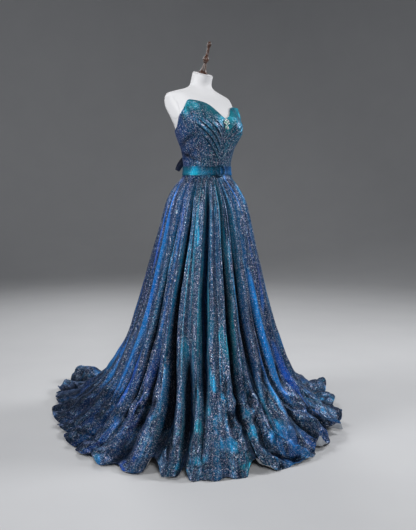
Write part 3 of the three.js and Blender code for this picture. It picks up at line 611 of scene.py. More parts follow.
def pleatShape(angle, z, top):
    away = np.abs(np.radians(angle)) * bodice["girth"]
    line = z - bodice["climb"] * away
    height = np.zeros_like(z)
    for low, high, reach in bodice["pleats"]:
        across = line - low
        shape = np.where(across < 0, bell(across / bodice["crisp"]), bell(across / bodice["soft"]))
        height = np.maximum(height, high * shape * rise((reach - away) / bodice["pleatFade"]))
    (clear, above), (foot, below) = bodice["pleatTop"], bodice["pleatFoot"]
    start, beside = bodice["pleatStart"]
    edges = rise((top - clear - z) / above) * rise((z - foot) / below)
    return height * rise((away - start) / beside) * edges


def buildBodicePanel(node, hand, start, end, columns):
    up = np.linspace(0, 1, bodice["rows"])[:, None]
    share = np.linspace(0, 1, columns)[None]
    if hand < 0:
        start, end = end, start
    angle = hand * mix(mix(start[0], start[1], up), mix(end[0], end[1], up), share)
    middle, drop, wide = bodice["farCup"]
    top = readTable(bodice["neckline"], np.abs(angle), 1) - drop * bell((angle - middle) / wide)
    z = mix(bodice["seam"], top, up)
    stands = bodice["cupStand"] * bell((np.abs(angle) - bodice["cupAngle"]) / bodice["cupSpread"])
    stands = stands * rise((up - bodice["cupFrom"]) / (1 - bodice["cupFrom"]))
    front = "front" in node
    pleat = pleatShape(angle, z, top) if front else np.zeros_like(z)
    plain = offFigure(angle, z, bodice["outside"] + stands)
    around = np.radians(angle) * bodice["girth"]
    drag = np.zeros_like(z)
    for a, h, slope, long, deep, wide in bodice["drags"]:
        along = around - math.radians(a) * bodice["girth"]
        drag += deep * bell((z - h - slope * along) / wide) * bell(along / long)
    lumps = sum(high * softNoise(plain, size, seed) for high, size, seed in bodice["lumps"])
    body = rise((top - z) / 30) * rise((z - 1190) / 20)
    stitch = bodice["stitchWide"]
    seamed = bodice["stitchDeep"] * (bell(share * columns / stitch) + bell((1 - share) * columns / stitch))
    off = bodice["outside"] + stands + pleat + body * (lumps - drag * 0.8) - seamed * rise((top - z) / 6)
    grid = offFigure(angle, z, off)
    openSeams(grid, bodice["halfGap"])
    slopes = np.abs(np.gradient(pleat, axis=0)) + np.abs(np.gradient(pleat, axis=1))
    deep, strength = bodice["bands"][hand]
    cup = rise((z - (top - deep + 10 * sine(angle * 3))) / 40)
    band = cup * rise((75 - np.abs(angle)) / 12) * strength * (front or "side" in node)
    band = band * (0.75 + 0.5 * softNoise(plain, 24, 12))
    tone = np.clip(0.5 + 0.5 * softNoise(plain, 90, 11) - 0.9 * sine(angle + 60), 0, 1) * (1 - 0.6 * band)
    # painted shade along the drag lines
    sunk = np.clip(drag * 0.3, 0, 1)
    # painted shade: the cloth is darkened right under a pleat's fold
    under = np.clip(np.gradient(pleat, axis=0) / 1.1, 0, 1)
    # painted sheen on the sides of the pleats, more towards the back
    marks = {"fold": np.clip(slopes * 0.14 + 0.2 * rise(np.abs(around) / 260), 0, 1),
             "paintedShade": np.clip(under * 1.1 + sunk, 0, 1), "tone": tone, "band": band}
    piece = gridMesh(node + "_cloth", grid, marks=marks)
    thicken(piece, bodice["wall"], [glitterCloth, wrongSide])
    return settle(piece, "glitter_cloth", node)


# each panel: its name, the seams it runs from and to, and its number of columns
for hand, word in ((-1, "right"), (1, "left")):
    for name, start, end, columns in (("front", "centre", "side", 60), ("side", "side", "back", 30),
                                      ("back", "back", "edge", 26)):
        node = f"bodice_{name}_{word}"
        panel = buildBodicePanel(node, hand, bodice[start], bodice[end], columns)
print("bodice made")


# The panel behind the lacing
modesty = {"low": 1176, "high": 1300, "from": 156, "to": 204, "outside": 2, "wall": 1}


def buildModestyPanel():
    z = np.linspace(modesty["low"], modesty["high"], 32)[:, None]
    angle = np.linspace(modesty["from"], modesty["to"], 40)[None]
    soft = 0.35 * softNoise(offFigure(angle, z, 2), 22, 3)
    piece = gridMesh("modesty_panel_cloth", offFigure(angle, z, modesty["outside"] + soft - 0.3),
                     marks={"fold": 0.2, "paintedShade": 0.2, "tone": 0.6, "band": 0.4})
    thicken(piece, modesty["wall"], [ribbonCloth])
    settle(piece, "ribbon", "modesty_panel")


# The lacing: a tape of cord loops on each back edge, and two ribbons that cross between them
lacing = {
    "loops": 6, "low": 1198, "high": 1300, "foot": 6.5, "tube": 1.1, "edge": (170, 167), "topAngle": 165,
    "tapeLow": 1190, "tapeHigh": 1306, "tapeNear": 1, "tapeFar": 9, "tapeInside": 5.3, "tapeOutside": 6.3,
    "width": 6, "offsets": (5.4, 7.4), "thick": 0.8,
}


def nearEdge(hand, along, z, off):
    top = readTable(bodice["neckline"], lacing["topAngle"], 1)
    edge = mix(*lacing["edge"], (z - bodice["seam"]) / (top - bodice["seam"]))
    shift = np.degrees(along / figureRadius(edge, z))
    return offFigure(hand * (edge + shift), z, off)


def buildLoopTape(hand, word):
    z = np.linspace(lacing["tapeLow"], lacing["tapeHigh"], 40)[:, None]
    along = np.linspace(-lacing["tapeFar"], -lacing["tapeNear"], 6)[None]
    along = along if hand > 0 else along[:, ::-1]
    tape = gridMesh(f"loop_tape_{word}_cloth", nearEdge(hand, along, z, lacing["tapeOutside"]))
    thicken(tape, lacing["tapeOutside"] - lacing["tapeInside"], [ribbonCloth])
    foot = lacing["foot"]
    route = [(-6, foot, 6.2), (-4, foot, 6.6), (1, foot - 0.2, 9.4), (5, 4, 10.2), (6.6, 0, 10.4),
             (5, -4, 10.2), (1, 0.2 - foot, 9.4), (-4, -foot, 6.6), (-6, -foot, 6.2)]
    parts = [tape]
    for height in np.linspace(lacing["low"], lacing["high"], lacing["loops"]):
        points = [nearEdge(hand, np.array(a), np.array(height + up), off) * 0.001 for a, up, off in route]
        parts.append(tubeMesh("loop", points, lacing["tube"]))
        parts[-1].data.materials.append(ribbonCloth)
    joinPieces(parts)
    settle(tape, "ribbon", f"loop_tape_{word}")


# A round cord through points given in metres, as a closed mesh
def tubeMesh(name, points, radius):
    curve = bpy.data.curves.new(name, "CURVE")
    curve.dimensions = "3D"
    curve.bevel_depth = radius * 0.001
    curve.bevel_resolution = 2
    curve.resolution_u = 5
    curve.use_fill_caps = True
    line = curve.splines.new("BEZIER")
    line.bezier_points.add(len(points) - 1)
    for knot, point in zip(line.bezier_points, points):
        knot.co = point
        knot.handle_left_type = knot.handle_right_type = "AUTO"
    piece = bpy.data.objects.new(name, curve)
    bpy.context.scene.collection.objects.link(piece)
    makeActive(piece)
    bpy.ops.object.convert(target="MESH")
    piece = bpy.context.object
    piece.data.uv_layers.new(name="clothMap")
    return piece


# A ribbon along a route, with the way that its face looks at each point
def ribbonGrid(route, facing, width, crown=0.0):
    ahead = np.gradient(route, axis=0)
    ahead /= np.linalg.norm(ahead, axis=-1, keepdims=True)
    side = np.cross(facing, ahead)
    side /= np.linalg.norm(side, axis=-1, keepdims=True)
    out = np.cross(ahead, side)
    across = np.linspace(-0.5, 0.5, 7)
    lift = crown * (1 - (2 * across) ** 2)
    aside = side[:, None] * (across * width)[None, :, None]
    return route[:, None] + aside + out[:, None] * lift[None, :, None]


def buildLace(start, word, off):
    heights = np.linspace(lacing["low"], lacing["high"], lacing["loops"])
    reach = 180 - lacing["edge"][0] - 1.5
    z, angle = [], []
    for i in range(lacing["loops"] - 1):
        hand = start if i % 2 == 0 else -start
        share = np.linspace(0, 1, 9)[: 9 if i == lacing["loops"] - 2 else 8]
        z += mix(heights[i], heights[i + 1], share).tolist()
        angle += (180 - hand * mix(reach, -reach, share)).tolist()
    route = offFigure(np.array(angle), np.array(z), off + lacing["thick"])
    facing = route * np.array([1, 1, 0])
    facing /= np.linalg.norm(facing, axis=-1, keepdims=True)
    grid = ribbonGrid(route, facing, lacing["width"])
    piece = gridMesh(f"lace_{word}_ribbon", grid)
    thicken(piece, lacing["thick"], [ribbonCloth])
    settle(piece, "ribbon", f"lace_{word}")


# The bow at the top of the lacing's ends
bow = {
    "z": 1232, "off": 17, "width": 24, "thick": 1.1, "open": 13, "near": 10, "steps": 64,
    "loops": [(-1, "right", 70, 26, 68), (1, "left", 66, 26, 60)],
    "tails": [(-1, "right", 38, 250), (1, "left", 30, 290)],
    "tailWidth": 16, "below": 12, "apart": 9.5, "offSkirt": 14,
    # half sizes of the knot, how far it is squeezed in and how wide there, and its wrapped folds
    "knot": (8.5, 5, 10.5), "squeeze": 0.16, "narrow": 1.6, "wraps": 0.05, "wrapTurn": 16,
    # pleats under the knot: turn across the ribbon, height, how soon they open out
    "pleatTurn": 22, "pleatHigh": 1.1, "pleatEnd": 2.2,
    # way across the loops' ribbon, and the size of the ribbon in each loop
    "across": (0.0, 0.83, 0.55), "loopCut": (0.024, 0.2),
}


def buildBow():
    root = offFigure(180, bow["z"], bow["off"])
    for hand, word, wide, back, fall in bow["loops"]:
        turn = np.linspace(0, 2 * math.pi, bow["steps"], endpoint=False)
        reach = (1 - np.cos(turn)) / 2
        gape = bow["open"] * np.sin(turn) * mix(0.35, 1, reach)
        route = np.stack([root[0] + hand * mix(bow["near"], wide, reach),
                          root[1] + 2 + back * reach**1.3 + gape * 0.75,
                          root[2] + 6 * reach - fall * reach**2.2 + gape * 0.5], axis=-1)
        # the ribbon's width lies square to the way the loop runs
        ahead = np.stack([hand * (wide - bow["near"]) + 0 * reach, 1.3 * back * reach**0.3,
                          6 - 2.2 * fall * reach**1.2], axis=-1)
        side = np.cross(ahead, np.array(bow["across"]))
        side *= np.sign(side[:, 2:]) / np.linalg.norm(side, axis=-1, keepdims=True)
        width = bow["width"] * mix(0.45, 1, rise(reach * 3))
        out = np.cross(np.roll(route, -1, axis=0) - np.roll(route, 1, axis=0), side)
        out /= np.linalg.norm(out, axis=-1, keepdims=True)
        across = np.linspace(-0.5, 0.5, 9)
        # gathered under the knot: fine pleats that open out along the loop
        pleats = (np.cos(across * bow["pleatTurn"])[:, None]
                  * (bow["pleatHigh"] * (1 - rise(reach * bow["pleatEnd"])))[None])
        aside = across[:, None, None] * (width[:, None] * side)[None]
        grid = route[None] + aside + out[None] * pleats[..., None]
        piece = gridMesh(f"bow_loop_{word}_ribbon", grid, closed=True)
        if hand > 0:
            piece.data.flip_normals()
        thicken(piece, bow["thick"], [ribbonCloth])
        settle(piece, "ribbon", f"bow_loop_{word}")
    for hand, word, wide, long in bow["tails"]:
        share = np.linspace(0, 1, 60)
        z = root[2] - bow["below"] - long * share
        skirtBack = readTable(skirt["outline"], np.minimum(z, 1150), 3) + bow["offSkirt"]
        y = np.maximum(root[1] + 3, skirtBack) + 4 * np.sin(share * 9)
        route = np.stack([hand * (bow["apart"] + wide * share**0.8), y, z], axis=-1)
        turn = np.sin(share * 6.6) * 0.5
        facing = np.stack([turn, np.ones_like(turn), np.zeros_like(turn)], axis=-1)
        grid = ribbonGrid(route, facing, bow["tailWidth"], 0.8)
        piece = gridMesh(f"bow_tail_{word}_ribbon", grid)
        thicken(piece, bow["thick"], [ribbonCloth])
        settle(piece, "ribbon", f"bow_tail_{word}")
    # the knot: a ball squeezed into a cushion of wrapped ribbon
    bpy.ops.object.select_all(action="DESELECT")
    bpy.ops.mesh.primitive_uv_sphere_add(segments=48, ring_count=24, radius=0.001,
                                         location=(root[0] * 0.001, (root[1] + 1) * 0.001, root[2] * 0.001))
    knot = bpy.context.object
    knot.name = "bow_knot_ribbon"
    knot.scale = bow["knot"]
    bpy.ops.object.transform_apply(location=True, scale=True)
    middle = Vector(root) * 0.001
    for point in knot.data.vertices:
        off = point.co - middle
        across = off.z / (bow["knot"][2] * 0.001)
        squeeze = 1 - bow["squeeze"] * math.exp(-((across * bow["narrow"]) ** 2))
        squeeze += bow["wraps"] * math.cos(across * bow["wrapTurn"])
        point.co = middle + Vector((off.x * squeeze, off.y * squeeze, off.z))
    knot.data.uv_layers[0].name = "clothMap"
    bpy.ops.object.shade_smooth()
    knot.data.materials.append(ribbonCloth)
    settle(knot, "ribbon", "bow_knot")


# The skirt: seven gores gathered at the waist. A fold runs from each valley to the next.
skirt = {
    "wall": 1.2, "waistOff": 4.7, "hips": 1000, "offHips": 3, "halfGap": 0.05,
    "columns": 24, "trailRows": 28, "round": 3.6,
    "floor": 1.8, "hemClear": 2.4, "hem": 40, "half": 600, "waist": 1110, "top": 1171.7,
    "groove": 20, "grooveMost": 1.2, "grooveWide": 0.1, "darkWide": 0.13,
    # height, half width, front, back, depth of the folds
    "outline": np.array([
        [40, 576, 558, 840, 48], [100, 518, 496, 722, 52], [190, 452, 430, 610, 55],
        [290, 396, 372, 520, 56], [398, 352, 332, 432, 55], [538, 303, 288, 382, 50],
        [677, 266, 256, 330, 45], [814, 232, 226, 284, 40], [918, 208, 206, 238, 34],
        [1000, 190, 185, 209, 26], [1050, 175, 162, 186, 19], [1090, 155, 135, 156, 12],
        [1120, 138, 111, 114, 6], [1148, 119, 93, 92, 0], [1171.7, 112, 88, 86, 0],
    ]),
    # angle, how far the hem reaches over the floor
    "hemReach": np.array([
        [-180, 1080], [-165, 985], [-150, 845], [-135, 745], [-120, 688], [-100, 662], [-80, 655],
        [-60, 642], [-40, 642], [-20, 618], [0, 612], [20, 600], [40, 612], [60, 650], [75, 700],
        [90, 775], [105, 840], [120, 895], [140, 965], [160, 1050], [180, 1080],
    ]),
    # share of the way out over the floor, depth of the folds, height of the ridges
    "trail": np.array([[0, 48, 0], [0.3, 52, 42], [0.66, 54, 48], [1, 52, 20]]),
    # each valley: angle at the waist, halfway and at the hem; its depth there; how far it leans over;
    # how sharp it is above and below; its colour from teal to royal blue
    "folds": np.array([
        [-180, -180, -180, 0.9, 1, 0.9, 1.2, 0.8, 0.7, 0.6],
        [-167, -168, -167, 0.5, 0.6, 0.7, -1, 0.3, 0.5, 0.4],
        [-154, -155, -155, 0.8, 0.9, 1, 1.2, 0.7, 0.7, 0.7],
        [-143, -145, -144, 0.5, 0.5, 0.9, 0.8, 0.3, 0.8, 0.8],
        [-132, -134, -133, 0.9, 0.9, 1.1, -1.2, 0.8, 0.9, 0.9],
        [-119, -123, -122, 0.6, 0.6, 1.1, 1, 0.5, 1, 0.95],
        [-105, -112, -110, 0.45, 0.75, 1.1, 1.2, 0.6, 1, 0.9],
        [-92, -98, -98, 0.25, 0.4, 0.9, -0.8, 0.3, 0.9, 0.85],
        [-77, -85, -87, 0.5, 1.05, 1, 1.2, 1.9, 1.1, 0.7],
        [-69, -75, -74, 0.15, 0.35, 0.9, -0.8, 0.1, 0.9, 0.9],
        [-60, -67, -58, 0.5, 0.98, 1.1, 0.9, 1.9, 1.2, 0.45],
        [-50, -53, -46.5, 0.2, 0.3, 1, -0.8, 0.1, 1.4, 0.2],
        [-37, -41, -40, 0.7, 1.1, 0.3, 1.2, 1.3, 0.4, 0.15],
        [-28, -29, -31, 0.5, 0.25, 0.15, 0.8, 0.1, 0.2, 0.3],
        [-18, -18, -19, 1, 0.9, 0.85, -0.6, 1, 0.5, 0.1],
        [-6, -6, -4, 0.8, 0.75, 0.3, 1, 1, 0.4, 0.45],
        [8, 12, 13, 0.6, 0.7, 0.4, -1, 0.7, 0.9, 0.6],
        [21, 26, 31, 0.6, 0.5, 1.2, -1.2, 0.5, 1, 0.85],
        [36, 40, 46, 0.8, 0.7, 0.5, 1, 0.7, 0.6, 0.7],
        [50, 54, 59, 0.5, 0.5, 0.8, -0.8, 0.4, 0.8, 0.5],
        [63, 66, 70, 0.9, 0.9, 0.7, 1.2, 0.8, 0.7, 0.3],
        [77, 79, 83, 0.8, 0.8, 0.8, -1.2, 0.6, 0.7, 0.5],
        [90, 92, 95, 0.5, 0.6, 0.5, 1, 0.3, 0.5, 0.7],
        [104, 106, 108, 0.85, 0.9, 0.9, -1.2, 0.8, 0.8, 0.8],
        [118, 119, 121, 0.5, 0.4, 0.6, 0.8, 0.3, 0.6, 0.5],
        [132, 133, 135, 0.9, 0.9, 0.8, 1.2, 0.8, 0.7, 0.3],
        [147, 148, 149, 0.6, 0.6, 0.7, -1, 0.4, 0.6, 0.5],
        [163, 164, 164, 0.8, 0.8, 0.8, 1.2, 0.6, 0.7, 0.7],
    ]),
    # finer creases: angle and height at the top, angle and height at the bottom, depth, width. Below the
    # height of the hem's fold the numbers go on along the cloth, under nought.
    "creases": [
        (-101, 1080, -106, 520, 4, 1.6), (-96, 900, -92, 260, 5, 1.8), (-88, 1130, -92, 640, 3, 1.3),
        (-82, 760, -80, 180, 6, 1.6), (-73, 1120, -80, 420, 4, 1.2), (-64, 1140, -71, 860, 3, 1),
        (-66, 640, -70, 60, 7, 1.6), (-55, 1140, -60, 560, 4, 1.3), (-58, 480, -57, 20, 8, 1.7),
        (-45, 1140, -48, 700, 3, 1.2), (-46, 560, -47, 110, 6, 1.8), (-33, 1140, -35, 470, 4, 1),
        (-35, 420, -37, 40, 6, 1.8), (-24, 1150, -23, 760, 4, 1), (-25, 620, -26, 150, 7, 1.6),
        (-14, 1150, -12, 640, 6, 1.1), (-12, 560, -11, 100, 8, 1.7), (-10, 1120, -12, 880, 13, 1.2),
        (0, 1150, 2, 700, 4, 1.1), (3, 620, 6, 140, 8, 1.8), (14, 1140, 18, 560, 5, 1.4),
        (20, 480, 23, 120, 8, 1.8), (28, 1130, 33, 600, 5, 1.5), (34, 520, 39, 130, 8, 1.8),
        (43, 1130, 47, 520, 5, 1.5), (50, 560, 53, 150, 7, 1.8), (57, 1120, 60, 600, 5, 1.6),
        (63, 420, 65, 110, 8, 1.8), (71, 1110, 73, 420, 6, 1.6), (85, 1120, 87, 500, 7, 1.7),
        (98, 1110, 100, 560, 6, 1.6), (101, 460, 102, 120, 8, 1.8), (111, 1100, 113, 400, 7, 1.7),
        (125, 1110, 127, 520, 7, 1.8), (140, 1100, 142, 380, 7, 1.8), (155, 1110, 157, 480, 7, 1.8),
        (172, 1100, 173, 420, 7, 1.8), (-173, 1090, -174, 360, 7, 1.8), (-160, 1110, -161, 520, 7, 1.8),
        (-148, 1100, -149, 420, 7, 1.8), (-137, 1110, -139, 380, 7, 1.8), (-125, 1100, -128, 460, 7, 1.8),
        (-113, 1110, -117, 400, 7, 1.7),
        (-118, 300, -127, -60, 14, 2), (-106, 260, -101, -60, 12, 1.9), (-93, 300, -87, -40, 12, 1.8),
        (-80, 280, -74, -40, 12, 1.7), (-71, 230, -79, -30, 10, 1.6), (-56, 250, -54, -30, 9, 1.4),
        (-44, 330, -48, 20, 10, 1.4), (-28, 330, -25, 20, 9, 1.6), (-14, 330, -12, 30, 10, 1.8),
        (-13, 250, -5, -30, 14, 1.7), (-8, 300, -10, 0, 11, 1.6), (4, 330, -4, 10, 15, 1.8),
        (1, 200, 9, -40, 12, 1.7), (12, 290, 19, -30, 14, 1.8), (21, 330, 13, 0, 13, 1.7),
        (27, 260, 35, -40, 15, 1.9), (40, 320, 33, 0, 13, 1.8), (50, 280, 55, -40, 13, 1.9),
        (66, 300, 60, -30, 13, 1.9), (80, 280, 88, -60, 14, 2), (97, 300, 92, -60, 13, 2),
        (112, 280, 118, -90, 14, 2.1), (128, 300, 124, -90, 13, 2.1), (141, 280, 147, -100, 14, 2.2),
        (158, 300, 154, -100, 13, 2.2), (170, 260, 173, -100, 12, 2.1), (-172, 290, -169, -100, 13, 2.1),
        (-160, 280, -164, -100, 14, 2.1), (-148, 300, -143, -90, 13, 2.1), (-134, 280, -139, -80, 13, 2),
    ],
    # where the hem is lifted off the floor: angle, lift, width
    "lifts": [
        (-105, 26, 4), (-93, 12, 3), (-84, 22, 3), (-73, 10, 3), (-57.5, 60, 3), (-51, 8, 2), (-46, 42, 1.8),
        (-31, 8, 3), (-20, 42, 2.3), (-9, 12, 3), (3, 20, 2.5), (14, 44, 3), (24, 26, 2.5), (34, 50, 3.2),
        (44, 28, 3), (56, 40, 3.5), (72, 24, 3), (88, 34, 4), (104, 20, 3), (122, 34, 4), (140, 20, 3),
        (158, 26, 4), (172, 10, 3), (-170, 20, 4), (-156, 26, 4), (-142, 18, 4), (-128, 34, 4), (-116, 20, 3),
    ],
    # where the edge turns up and shows its wrong side: angle, height, width
    "curls": [(-15, 26, 2.2), (-60, 10, 1.5), (18, 30, 3), (30, 24, 2.5), (52, 22, 3), (92, 24, 4),
              (-112, 20, 3), (130, 22, 4), (-150, 18, 4)],
    # long crests of crushed cloth: turn of the crest, its length, its width, height, seed
    "crushes": [(32, 230, 62, 12, 61), (-42, 200, 56, 11, 62), (84, 260, 70, 9, 63), (50, 130, 27, 2.2, 64),
                (-28, 110, 24, 1.8, 65)],
    # where the crushing is heaviest: angle, share, width
    "crushed": [(-118, 0.7, 16), (-80, 0.5, 12), (-36, 0.1, 10), (-5, 1.6, 17), (32, 1.4, 18), (75, 0.9, 20),
                (120, 0.8, 25), (165, 0.7, 25), (-160, 0.8, 22)],
    # where each change starts and the length it takes, which is negative when it runs down.
    # by height in the shape
    "fades": {
        "widening": (0, 500), "pressed": (560, -480), "leanTop": (1120, -160), "leanFoot": (20, 240),
        "sharpened": (150, 350), "gathered": (850, 200), "held": (1108, 44), "lifted": (200, -240),
        "crushed": (330, -230), "loose": (1120, -90), "grooveTop": (1150, -90), "grooveFoot": (-30, 120),
        "creaseTop": (1150, -60),
        # by height in the colours
        "offFloor": (-20, 90), "darkTop": (1130, -130), "darkFoot": (-40, 160), "pointed": (620, 460),
        "valleyHung": (120, 260), "nearFloor": (260, -200), "patchTop": (320, -220), "shadeTop": (330, -200),
        # by angle in the colours
        "farRight": (-78, -12), "left": (-16, 14), "shadeFront": (-80, -16), "shadeBack": (-165, 20),
        # by length of the trail, tilt, depth, share of a fold and noise
        "slack": (60, 160), "lying": (0.66, 0.3), "turned": (0.66, -0.4), "lyingDip": (0.22, 0.45),
        "hungDip": (0.35, 0.6), "sunk": (3, 8), "nextTone": (0.42, 0.16), "patch": (0.3, 0.36),
        "streak": (0.42, 0.3), "line": (0.3, 0.3),
    },
    # width of a valley below and above, how flat its faces are pressed, reach of the curled edge
    "valleyWide": (0.36, 0.38), "pressedFlat": 0.85, "curlWide": 34,
    # how far a crease runs out above and below its ends
    "creaseEnds": (90, 130, 0.3),
    # how much each kind of mark shows: painted sheen on lying and on turned cloth, painted shade in lying
    # and in hung valleys, and painted sheen in streaks
    "lyingBlue": 0.3, "turnedBlue": 0.62, "lyingDark": 0.95, "hungDark": 0.6, "streakShare": 0.8,
    # cell and seed of the noise behind each kind of mark
    "noise": {"tone": ((110, 110, 260), 41), "patches": ((38, 38, 120), 42), "streaks": ((26, 26, 420), 43),
              "lines": ((0.09, 300, 1), 44), "threads": ((0.055, 220, 1), 45), "points": ((60, 60, 200), 46)},
    # how much painted shade darkens the right of the train, the cloth under the belt and the crushed hollows
    "shade": 0.78, "shadeUnderBelt": 0.6, "hollowShade": 0.95,
    # the loose waves of the cloth: height, width, length, seed
    "waves": [(2.4, 34, 300, 33), (0.9, 13, 150, 34)],
    # node, first and last valley, flat width at the hem and length of the cut, and its area
    "gores": [
        ("skirt_back_right", 0, 4, (0.92, 1.62), 0.74),
        ("skirt_side_back_right", 4, 8, (0.76, 1.36), 0.62),
        ("skirt_side_front_right", 8, 12, (0.76, 1.33), 0.57),
        ("skirt_front", 12, 18, (1.17, 1.34), 0.9),
        ("skirt_side_front_left", 18, 21, (0.54, 1.36), 0.45),
        ("skirt_side_back_left", 21, 25, (0.94, 1.52), 0.76),
        ("skirt_back_left", 25, 28, (0.92, 1.66), 0.78),
    ],
}


# From 0 to 1 over one of the skirt's stretches
def fade(value, name):
    start, length = skirt["fades"][name]
    return rise((value - start) / length)


# Angles, depths and leans of every valley at each height, with the first one again at the end
def foldLines(z):
    folds = skirt["folds"]
    upper = rise((z - skirt["half"]) / (skirt["waist"] - skirt["half"]))[:, None]
    lower = rise((z - skirt["hem"]) / (skirt["half"] - skirt["hem"]))[:, None]
    high = z[:, None] > skirt["half"]
    angles = np.where(high, mix(folds[:, 1], folds[:, 0], upper), mix(folds[:, 2], folds[:, 1], lower))
    depths = np.where(high, mix(folds[:, 4], folds[:, 3], upper), mix(folds[:, 5], folds[:, 4], lower))
    angles = np.concatenate([angles, angles[:, :1] + 360], axis=1)
    depths = np.concatenate([depths, depths[:, :1]], axis=1)
    leans = np.append(folds[:, 6], folds[0, 6])
    return angles, depths, leans


def foldShape(places, z):
    folds = skirt["folds"]
    first = np.minimum(places.astype(int), len(folds) - 1)
    share = (places - first)[None]
    angles, depths, leans = foldLines(z)
    width = mix(*skirt["valleyWide"], fade(z, "widening"))[:, None]
    # soft folds above, pressed into flat faces towards the hem
    pressed = (skirt["pressedFlat"] * fade(z, "pressed"))[:, None]

    def dip(away):
        part = np.minimum(away / width, 1)
        return mix((1 - part**2) ** 2, 1 - part, pressed)

    before, after = dip(share), dip(1 - share)
    lean = leans[first] * before + leans[(first + 1) % len(folds)] * after
    hung = (fade(z, "leanTop") * fade(z, "leanFoot"))[:, None]
    angle = mix(angles[:, first], angles[:, first + 1], share)
    dipped = depths[:, first] * before + depths[:, first + 1] * after
    # a groove along the bottom of the sharp valleys
    sharp = mix(folds[:, 8], folds[:, 7], fade(z[:, None], "sharpened"))
    sharp = sharp * mix(1, np.minimum(folds[:, 3] / 0.7, 1) ** 2, fade(z[:, None], "gathered"))
    after = np.roll(sharp, -1, axis=1)[:, first]
    grooves = [sharp[:, first] * bell(share / wide) + after * bell((1 - share) / wide)
               for wide in (skirt["grooveWide"], skirt["darkWide"])]
    return angle, angle + lean * hung, dipped, np.stack(grooves, axis=-1)


def creaseDepth(angle, z):
    above, below, early = skirt["creaseEnds"]
    total = np.zeros(np.broadcast_shapes(angle.shape, z.shape))
    for topAngle, top, lowAngle, low, deep, wide in skirt["creases"]:
        share = np.clip((top - z) / (top - low), -0.5, 1.5)
        middle = mix(topAngle, lowAngle, share)
        apart = apartFrom(angle, middle)
        window = rise((top - z) / above + early) * rise((z - low) / below + early)
        total += deep * window * bell(apart / wide)
    return total


def hangingCloth(places, z):
    plainAngle, angle, dip, grooves = foldShape(places, z)
    z = z[:, None]
    outline = skirt["outline"]
    free = ovalRadius(plainAngle, readTable(outline, z, 1), readTable(outline, z, 2),
                      readTable(outline, z, 3), 2)
    tight = figureRadius(plainAngle, z) + skirt["waistOff"]
    held = fade(z, "held")
    deep = readTable(outline, z, 4)
    radius = mix(free - dip * deep, tight, held)
    return together(radius * sine(angle), -radius * cosine(angle), z), dip, grooves


def trailingCloth(places, out):
    low = np.array([float(skirt["hem"])])
    base = hangingCloth(places, low)[0]
    start = np.hypot(base[..., 0], base[..., 1])
    startAngle = foldShape(places, low)[1]
    _, angle, dip, grooves = foldShape(places, np.array([0.0]))
    turned = np.where(angle > 180, angle - 360, angle)
    out = out[:, None]
    reach = readTable(skirt["hemReach"], turned, 1) - dip * readTable(skirt["trail"], out, 1) * 0.8
    trail = reach - start
    radius = mix(start, reach, out)
    slack = fade(trail, "slack")
    crest = np.clip(1 - dip, 0, 1) * readTable(skirt["trail"], out, 2) * mix(0.08, 1, slack)
    crest = crest * (1 + 0.5 * softNoise(together(np.abs(turned), out * 60, turned > 0), (17, 70, 1), 65))
    z = skirt["hemClear"] + (skirt["hem"] - skirt["hemClear"]) * (1 - out) ** mix(1.2, 2.4, slack) + crest
    way = mix(startAngle, angle, out)
    grid = together(radius * sine(way), -radius * cosine(way), z)
    return grid, dip + out * 0, grooves + out[..., None] * 0


# How much the hem stands off the floor, and where its edge turns up
def liftedHem(angle, height, run):
    total = np.zeros(angle.shape)
    for middle, lift, wide in skirt["lifts"]:
        apart = apartFrom(angle, middle)
        total += lift * np.exp(-np.abs(apart / wide) ** 3) * fade(height, "lifted")
    for middle, lift, wide in skirt["curls"]:
        apart = apartFrom(angle, middle)
        total += lift * bell(apart / wide) * np.clip(1 - run / skirt["curlWide"], 0, 1) ** 2
    return total


# Crests of crushed cloth, in millimetres round the skirt and up it
def crushedCloth(around, up, angle):
    total = np.zeros(around.shape)
    for turn, long, wide, high, seed in skirt["crushes"]:
        a = around * cosine(turn) + up * sine(turn)
        b = up * cosine(turn) - around * sine(turn)
        lumps = softNoise(together(a, b, 0.0), (long, wide, 1), seed, crisp=True)
        total += high * (1 - 2.4 * np.abs(lumps))
    share = np.zeros(around.shape)
    for middle, much, wide in skirt["crushed"]:
        apart = apartFrom(angle, middle)
        share = np.maximum(share, much * bell(apart / wide))
    # nothing crosses the seam at the back
    return total * (0.3 + share) * (1 - bell((180 - np.abs(angle)) / 3))


